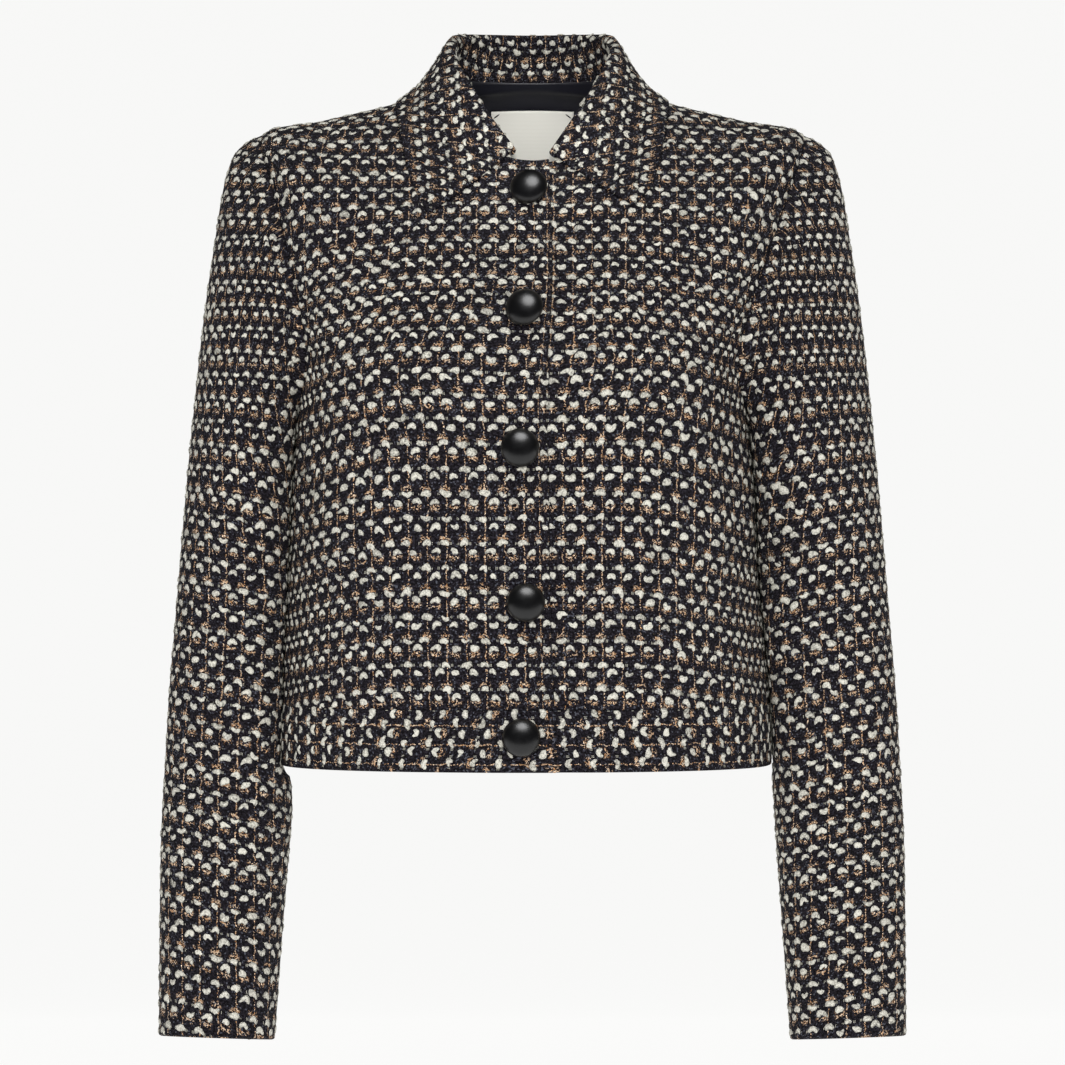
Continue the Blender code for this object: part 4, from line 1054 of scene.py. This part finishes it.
def collar_path(share):
    """The collar's middle in section: from the neck seam, up the stand, over the fold, to the edge."""
    angle, fold, edge = collar_station(share)
    ahead, behind = collar_station(min(share + 0.01, 1))[1], collar_station(max(share - 0.01, -1))[1]
    run = unit(ahead - behind)
    neck = cloth_point(np.array(angle), np.array(0.0))
    off = unit(neck - cloth_point(np.array(angle), np.array(0.05)))
    inward = unit(np.array((-neck[0], -neck[1], 0.0)))
    seam = neck + off * 2.2 * SEAM + inward * COLLAR_CLOTH / 2 + np.array((0, 0, COLLAR_RISE))
    apex = unit(unit(fold - seam) + unit(fold - edge))
    apex = unit(apex - run * np.dot(apex, run))
    out = np.cross(run, apex)
    out = out if np.dot(out, edge - seam) > 0 else -out
    heart = fold - apex * (FOLD_RADIUS + COLLAR_CLOTH / 2)
    stand_top, fall_top = heart - out * FOLD_RADIUS, heart + out * FOLD_RADIUS
    edge = off_body(edge, LEAF_CLEAR + COLLAR_CLOTH / 2)
    rise, fall = np.linalg.norm(stand_top - seam), np.linalg.norm(edge - fall_top)
    lean, upright = seam + (stand_top - seam) * 0.3, stand_top - apex * rise * 0.3
    stand_shares = graded(STAND_STEPS, 40)[: STAND_STEPS + 4]
    path = [bezier(seam, lean, upright, stand_top, f) for f in stand_shares[stand_shares < 0.97]]
    for turn in np.linspace(0, math.pi, ROLL_STEPS + 1):
        path.append(heart + FOLD_RADIUS * (apex * math.sin(turn) - out * math.cos(turn)))
    lift = unit(edge - seam + np.array((0, 0, 40.0)))
    bend = edge + (fall_top - edge) * FALL_BEND - lift * fall * FALL_HOLLOW
    fall_shares = graded(FALL_STEPS, 62)
    for f in fall_shares[fall_shares > 0.04]:
        point = bezier(fall_top, fall_top - apex * fall * FALL_DROP, bend, edge, f)
        path.append(off_body(point, LEAF_CLEAR + COLLAR_CLOTH / 2))
    return np.array(path)


shares = 2 * graded(COLLAR_COLUMNS, 420) - 1
middle = np.array([collar_path(share) for share in shares]).transpose(1, 0, 2)[:, ::-1]
thinner = 1 - LEAF_THINS * smooth(8, 0, from_edges(middle)[BOTTOM])
collar = middle + normals_of(middle) * COLLAR_CLOTH / 2 * thinner[..., None]
fold_row = len(middle) - 1 - (FALL_STEPS + 3) - ROLL_STEPS // 2


def unrolled(points, top_row):
    """The collar laid flat: its columns unrolled side by side, by the lengths between their ends."""
    count = points.shape[1]
    top, low = points[top_row], points[-1]
    centre = count // 2
    flat_top, flat_low = np.zeros((count, 2)), np.zeros((count, 2))
    flat_low[centre] = (0, np.linalg.norm(low[centre] - top[centre]))

    def third(a, b, to_a, to_b, way):
        """The point at set distances from two others, on one side of the line between them."""
        line = b - a
        length = np.linalg.norm(line)
        x = (length**2 + to_a**2 - to_b**2) / (2 * length)
        y = math.sqrt(max(to_a**2 - x**2, 0))
        return a + line / length * x + way * np.array((line[1], -line[0])) / length * y

    for way, stop in ((1, count), (-1, -1)):
        for k in range(centre + way, stop, way):
            j = k - way
            to_top, to_low = np.linalg.norm(top[k] - top[j]), np.linalg.norm(top[k] - low[j])
            flat_top[k] = third(flat_top[j], flat_low[j], to_top, to_low, way)
            to_top, to_low = np.linalg.norm(low[k] - top[k]), np.linalg.norm(low[k] - low[j])
            flat_low[k] = third(flat_top[k], flat_low[j], to_top, to_low, way)
    steps = np.linalg.norm(np.diff(points, axis=0), axis=2)
    run = np.insert(np.cumsum(steps, axis=0), 0, 0, axis=0)
    share = (run - run[top_row]) / (run[-1] - run[top_row])
    return flat_top[None] + (flat_low - flat_top)[None] * share[..., None]


collar_cloth = unrolled(collar, fold_row)
round_neck, from_fold = collar_cloth[..., 0], collar_cloth[..., 1]
round_neck[:fold_row] = round_neck[fold_row]  # the stand is as wide as the fold
turned = LEAF_TURN * np.maximum(np.abs(round_neck) - STAND_HALF, 0)
from_fold = from_fold * COLLAR_PACKED_DOWN + turned
collar_cloth = np.stack((round_neck * COLLAR_PACKED, from_fold), -1)
tweed_piece("collar", collar, collar_cloth, 51, (SEWN, TURNED, TURNED, TURNED), plump=0.97)


# ---- Inside the back neck ----
# A strip of the dark lining shows below the back of the collar. On it sits a woven label in cream, left
# bare, held by a short slanting stitch at each top corner.

LINING, LABEL_GAP = 1.0, 0.7
LINING_OFF = TWEED + 0.3  # inside the cloth's outer surface
LINING_LOW = 2.9  # the ring place of its lower edge
LINING_TOP = 15.5  # the height of its straight upper edge, over the neck seam
LINING_LEAN = 0.33  # how far it leans inwards above the neck seam, for each millimetre up
LABEL_WIDTH, LABEL_HEIGHT, LABEL_DROP = 59, 42, 19.3

place = np.linspace(0, LINING_LOW, 36)[:, None]
strip_angle = math.pi + np.linspace(-1, 1, 61)[None] * (0.95 - 0.05 * place)
strip_place = place + 0 * strip_angle
strip = body_surface(strip_angle, strip_place, -LINING_OFF - 0.9 * smooth(0.3, 0, strip_place))
rise = np.maximum(LINING_TOP - strip[0, :, 2], 0.6)[None, :, None] * np.linspace(1, 0, 5)[:-1, None, None]
inward = -strip[:1] / np.linalg.norm(strip[:1, :, :2], axis=2)[..., None] * (1, 1, 0)
facing = strip[:1] + rise * (inward * LINING_LEAN + np.array((0, 0, 1.0)))
strip = np.concatenate((facing, strip))
strip_angle = np.concatenate((strip_angle[:1].repeat(4, 0), strip_angle))
strip_place = np.concatenate((strip_place[:1].repeat(4, 0), strip_place))
strip_mm = back_cloth(strip_angle, strip_place)
lining = shell("neck_lining_cloth", strip, strip_mm, [satin], LINING)
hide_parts("neck_lining")

# The label is polyester satin, woven with fine cross ribs: cream, with a soft sheen.
label_cream, tree, shader = new_material("woven_cream_label_satin")
place = add(tree, "UVMap", {}, uv_map="cloth")
ribbed = {"Vector": place, "Scale": 1 / (3.2 * MM), "Distortion": 0.4}
ribs = add(tree, "TexWave", ribbed, bands_direction="Y")
tones = {"Factor": ribs.outputs["Fac"], 6: linear("#efede2"), 7: linear("#f8f6ed")}
plug(shader, {
    "Base Color": add(tree, "Mix", tones, data_type="RGBA").outputs[2],
    "Roughness": 0.6,
    "Normal": add(tree, "Bump", {"Height": ribs.outputs["Fac"], "Strength": 0.15, "Distance": 0.2 * MM}),
})

down_back = np.linspace(0, LINING_LOW, 400)
run = np.insert(np.cumsum(np.linalg.norm(np.diff(body_form(math.pi, down_back), axis=0), axis=1)), 0, 0)
place = np.interp(np.linspace(LABEL_DROP, LABEL_DROP + LABEL_HEIGHT, 25), run, down_back)[:, None]
label_angle = math.pi + lap_angle(place, LABEL_WIDTH / 2) * np.linspace(-1, 1, 33)[None]
label_place = place + 0 * label_angle
label_off = np.full(label_angle.shape, -LINING_OFF - LINING - LABEL_GAP)
label_points = body_surface(label_angle, label_place, label_off)
label_flat = np.stack(np.meshgrid(np.linspace(0, LABEL_WIDTH, 33), np.linspace(0, LABEL_HEIGHT, 25)), -1)
label = shell("label_cloth", label_points, label_flat, [label_cream], LINING)
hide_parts("label")

# The stitches are spun polyester sewing thread: black and matt.
thread_black, tree, shader, _ = mottled("black_sewing_thread", 0.5, "#050507", "#1c1c22")
plug(shader, {"Roughness": 0.7})
STITCH_LENGTH, STITCH_WIDTH, STITCH_DEPTH = 5.2, 0.9, 0.8

inside = -normals_of(label_points)
bm = bmesh.new()
for column, way in ((2, 1), (-3, -1)):
    corner = label_points[2, column]
    seat = corner + inside[2, column] * (LINING + STITCH_DEPTH / 2)
    across, down = unit(label_points[2, column + way] - corner), unit(label_points[5, column] - corner)
    line = unit(across - down * 0.75)
    over = np.cross(line, inside[2, column])
    stitch = bmesh.ops.create_uvsphere(bm, u_segments=10, v_segments=8, radius=0.5)["verts"]
    for vert in stitch:
        x, y, z = vert.co
        moved = line * z * STITCH_LENGTH + over * x * STITCH_WIDTH + inside[2, column] * y * STITCH_DEPTH
        vert.co = (seat + moved) * MM
bmesh.ops.recalc_face_normals(bm, faces=bm.faces)
mesh = mesh_of(bm, "label_stitches")
mesh.shade_smooth()
mesh_object("label_stitches", mesh, [thread_black])


# ---- The buttons ----
# Five domed buttons of cast black polyester resin, polished and bare. Each is sewn through a shank behind
# it, so that it stands just off the right front.

BUTTONS = [  # x and z of the seat, and how far it leans on its shank, up and to the right, in degrees
    (-1.3, -71.1, -12, 14),
    (-4.1, -150.7, 6, 14),
    (-8.1, -239.6, 0, 0),
    (-4.4, -339.7, 0, 0),
    (-7.3, -427.4, 0, 0),
]
BUTTON_RADIUS, BUTTON_RISE, BUTTON_SHANK = 12.6, 8.6, 3.4
BUTTON_OFF, BUTTON_UNDERSIDE, BUTTON_RIM = 0.3, 2.0, 1.4
TURNED_STEPS, DOME_STEPS = 56, 14

# The resin was cast, tumbled and polished: black, glossy, with a faint haze that blurs what it mirrors.
polish, tree, shader, haze = mottled("polished_black_resin", 4, "#070708", "#101012", detail=3.0)
gloss = add(tree, "MapRange", {"Value": haze, "To Min": 0.28, "To Max": 0.36})
plug(shader, {"Roughness": gloss, "IOR": 1.56, "Specular IOR Level": 0.5})


def button_profile(off, underside):
    """Radii and heights up the turned profile: the shank, the underside, the rounded rim and the dome."""
    rim = underside + BUTTON_RIM
    profile = [(0, off), (BUTTON_SHANK, off), (BUTTON_SHANK, underside)]
    profile += [(BUTTON_RADIUS * 0.88, underside + 0.2), (BUTTON_RADIUS * 0.97, rim - 0.7)]
    for turn in np.linspace(0, math.pi / 2, DOME_STEPS):
        profile.append((BUTTON_RADIUS * math.cos(turn), rim + BUTTON_RISE * math.sin(turn)))
    return profile


def side_way(axis):
    """The level direction at right angles to an axis."""
    return unit(np.cross((0.0, 0.0, 1.0), axis))


for number, (x, z, lean_up, lean_right) in enumerate(BUTTONS, 1):
    angle, place = np.array(0.0), np.array(5.0)
    for _ in range(8):
        fine = np.linspace(0, RING["hem"], 800)
        place = np.array(np.interp(-z, -body_form(angle, fine)[:, 2], fine))
        angle = lap_angle(place, np.array(x - along(BODY_ROWS, place)[7]))
    lift = over_lap(angle, place) + (BAND_PROUD if place > RING["band seam"] else 0)
    seat, normal = body_surface(angle, place, lift), body_normal(angle, place)
    level = side_way(normal)
    lean = np.cross(normal, level) * math.tan(math.radians(lean_up))
    axis = unit(normal + lean - level * math.tan(math.radians(lean_right)))
    slant = math.sqrt(max(1 - np.dot(axis, normal) ** 2, 0.0))
    underside = max(BUTTON_UNDERSIDE, BUTTON_OFF + BUTTON_RADIUS * slant)
    right = side_way(axis)
    up = np.cross(axis, right)
    bm = bmesh.new()
    profile = button_profile(BUTTON_OFF + BUTTON_SHANK * slant, underside)
    line = [bm.verts.new((radius, 0, height)) for radius, height in profile]
    edges = [bm.edges.new(pair) for pair in zip(line, line[1:])]
    round_z = {"cent": (0, 0, 0), "axis": (0, 0, 1), "angle": 2 * math.pi}
    bmesh.ops.spin(bm, geom=line + edges, steps=TURNED_STEPS, use_merge=True, **round_z)
    bmesh.ops.remove_doubles(bm, verts=bm.verts, dist=1e-4)
    for vert in bm.verts:
        a, b, c = vert.co
        vert.co = (seat + right * a + up * b + axis * c) * MM
    bmesh.ops.recalc_face_normals(bm, faces=bm.faces)
    mesh = mesh_of(bm, f"button_{number}_dome")
    mesh.shade_smooth()
    button = mesh_object(f"button_{number}_dome", mesh, [polish])
    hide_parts(f"button_{number}")


# ---- The studio ----
# A plain pale floor that curves up into a backdrop, soft lamps before the jacket, and a level camera far
# enough away for a nearly flat view.

FLOOR_Z, FLOOR_FRONT, BACKDROP_Y, BACKDROP_TOP, SWEEP, PAPER_WIDTH = -1.1, -1.35, 4.8, 2.6, 0.6, 8  # metres
scene = bpy.context.scene

bm = bmesh.new()
profile = [(FLOOR_FRONT, FLOOR_Z), (BACKDROP_Y - SWEEP, FLOOR_Z)]
for turn in np.linspace(0, math.pi / 2, 13)[1:]:
    profile.append((BACKDROP_Y - SWEEP + SWEEP * math.sin(turn), FLOOR_Z + SWEEP - SWEEP * math.cos(turn)))
profile.append((BACKDROP_Y, BACKDROP_TOP))
line = [bm.verts.new((-PAPER_WIDTH / 2, y, z)) for y, z in profile]
edges = [bm.edges.new(pair) for pair in zip(line, line[1:])]
swept = bmesh.ops.extrude_edge_only(bm, edges=edges)["geom"]
far_side = [part for part in swept if isinstance(part, bmesh.types.BMVert)]
bmesh.ops.translate(bm, vec=(PAPER_WIDTH, 0, 0), verts=far_side)
bmesh.ops.recalc_face_normals(bm, faces=bm.faces)
mesh = mesh_of(bm, "backdrop")
mesh.shade_smooth()

# Seamless background paper: matt and pale, and lit evenly from edge to edge.
paper, tree, shader = new_material("pale_studio_paper")
paper_white = {"Emission Color": linear("#f8f8f7"), "Emission Strength": 0.98}
plug(shader, {"Base Color": linear("#202020"), "Roughness": 1.0, **paper_white})
mesh.materials.append(paper)
backdrop = bpy.data.objects.new("backdrop", mesh)
scene.collection.objects.link(backdrop)


def hang(light, place, aim, seen_by):
    """Hangs a light at a place, turned to its aim, where it lights only what is dull, or what is glossy."""
    stand = bpy.data.objects.new(light.name, light)
    stand.location = place
    stand.rotation_euler = (Vector(aim) - Vector(place)).to_track_quat("-Z", "Y").to_euler()
    stand.visible_glossy, stand.visible_diffuse = seen_by == "gloss", seen_by == "dull"
    scene.collection.objects.link(stand)


SOFTBOXES = [  # name, shape, place, width, height, watts, seen_by
    ("round_key", "ELLIPSE", (0.2, -1.85, 2.2), 2.5, 2.5, 125, "gloss"),
    ("top_softbox", "ELLIPSE", (0.15, -1.7, 2.0), 0.9, 0.9, 13, "dull"),
    ("front_softbox", "RECTANGLE", (0, -3.3, 0.1), 2.6, 1.8, 66, "dull"),
    ("left_softbox", "RECTANGLE", (-2.6, -1.6, 0.2), 1.0, 2.4, 7, "dull"),
    ("right_softbox", "RECTANGLE", (2.6, -1.6, 0.2), 1.0, 2.4, 6, "dull"),
]
for name, shape, place, width, height, watts, seen_by in SOFTBOXES:
    softbox = bpy.data.lights.new(name, "AREA")
    softbox.shape, softbox.size, softbox.size_y, softbox.energy = shape, width, height, watts
    hang(softbox, place, (0, 0, -0.3), seen_by)

snoot = bpy.data.lights.new("label_snoot", "SPOT")
snoot.energy, snoot.spot_size, snoot.spot_blend, snoot.shadow_soft_size = 105, math.radians(2.4), 0.5, 0.02
hang(snoot, (0, -2.8, -0.2), (0, 0.085, -0.03), "dull")

world = bpy.data.worlds.new("studio_air")
world.use_nodes = True
plug(world.node_tree.nodes["Background"], {0: linear("#ffffff"), 1: 0.3})
world.cycles_visibility.glossy = False
scene.world = world
scene.view_settings.view_transform = "Standard"

CAMERA_AWAY, CAMERA_Z, VIEW_WIDTH = 2.9, -0.2945, 0.719  # metres; the view's width is at the jacket
camera = bpy.data.cameras.new("camera")
camera.sensor_width = 36
camera.lens = camera.sensor_width * CAMERA_AWAY / VIEW_WIDTH
eye = bpy.data.objects.new("camera", camera)
eye.location = (0, -CAMERA_AWAY, CAMERA_Z)
eye.rotation_euler = (math.pi / 2, 0, 0)
scene.collection.objects.link(eye)
scene.camera = eye
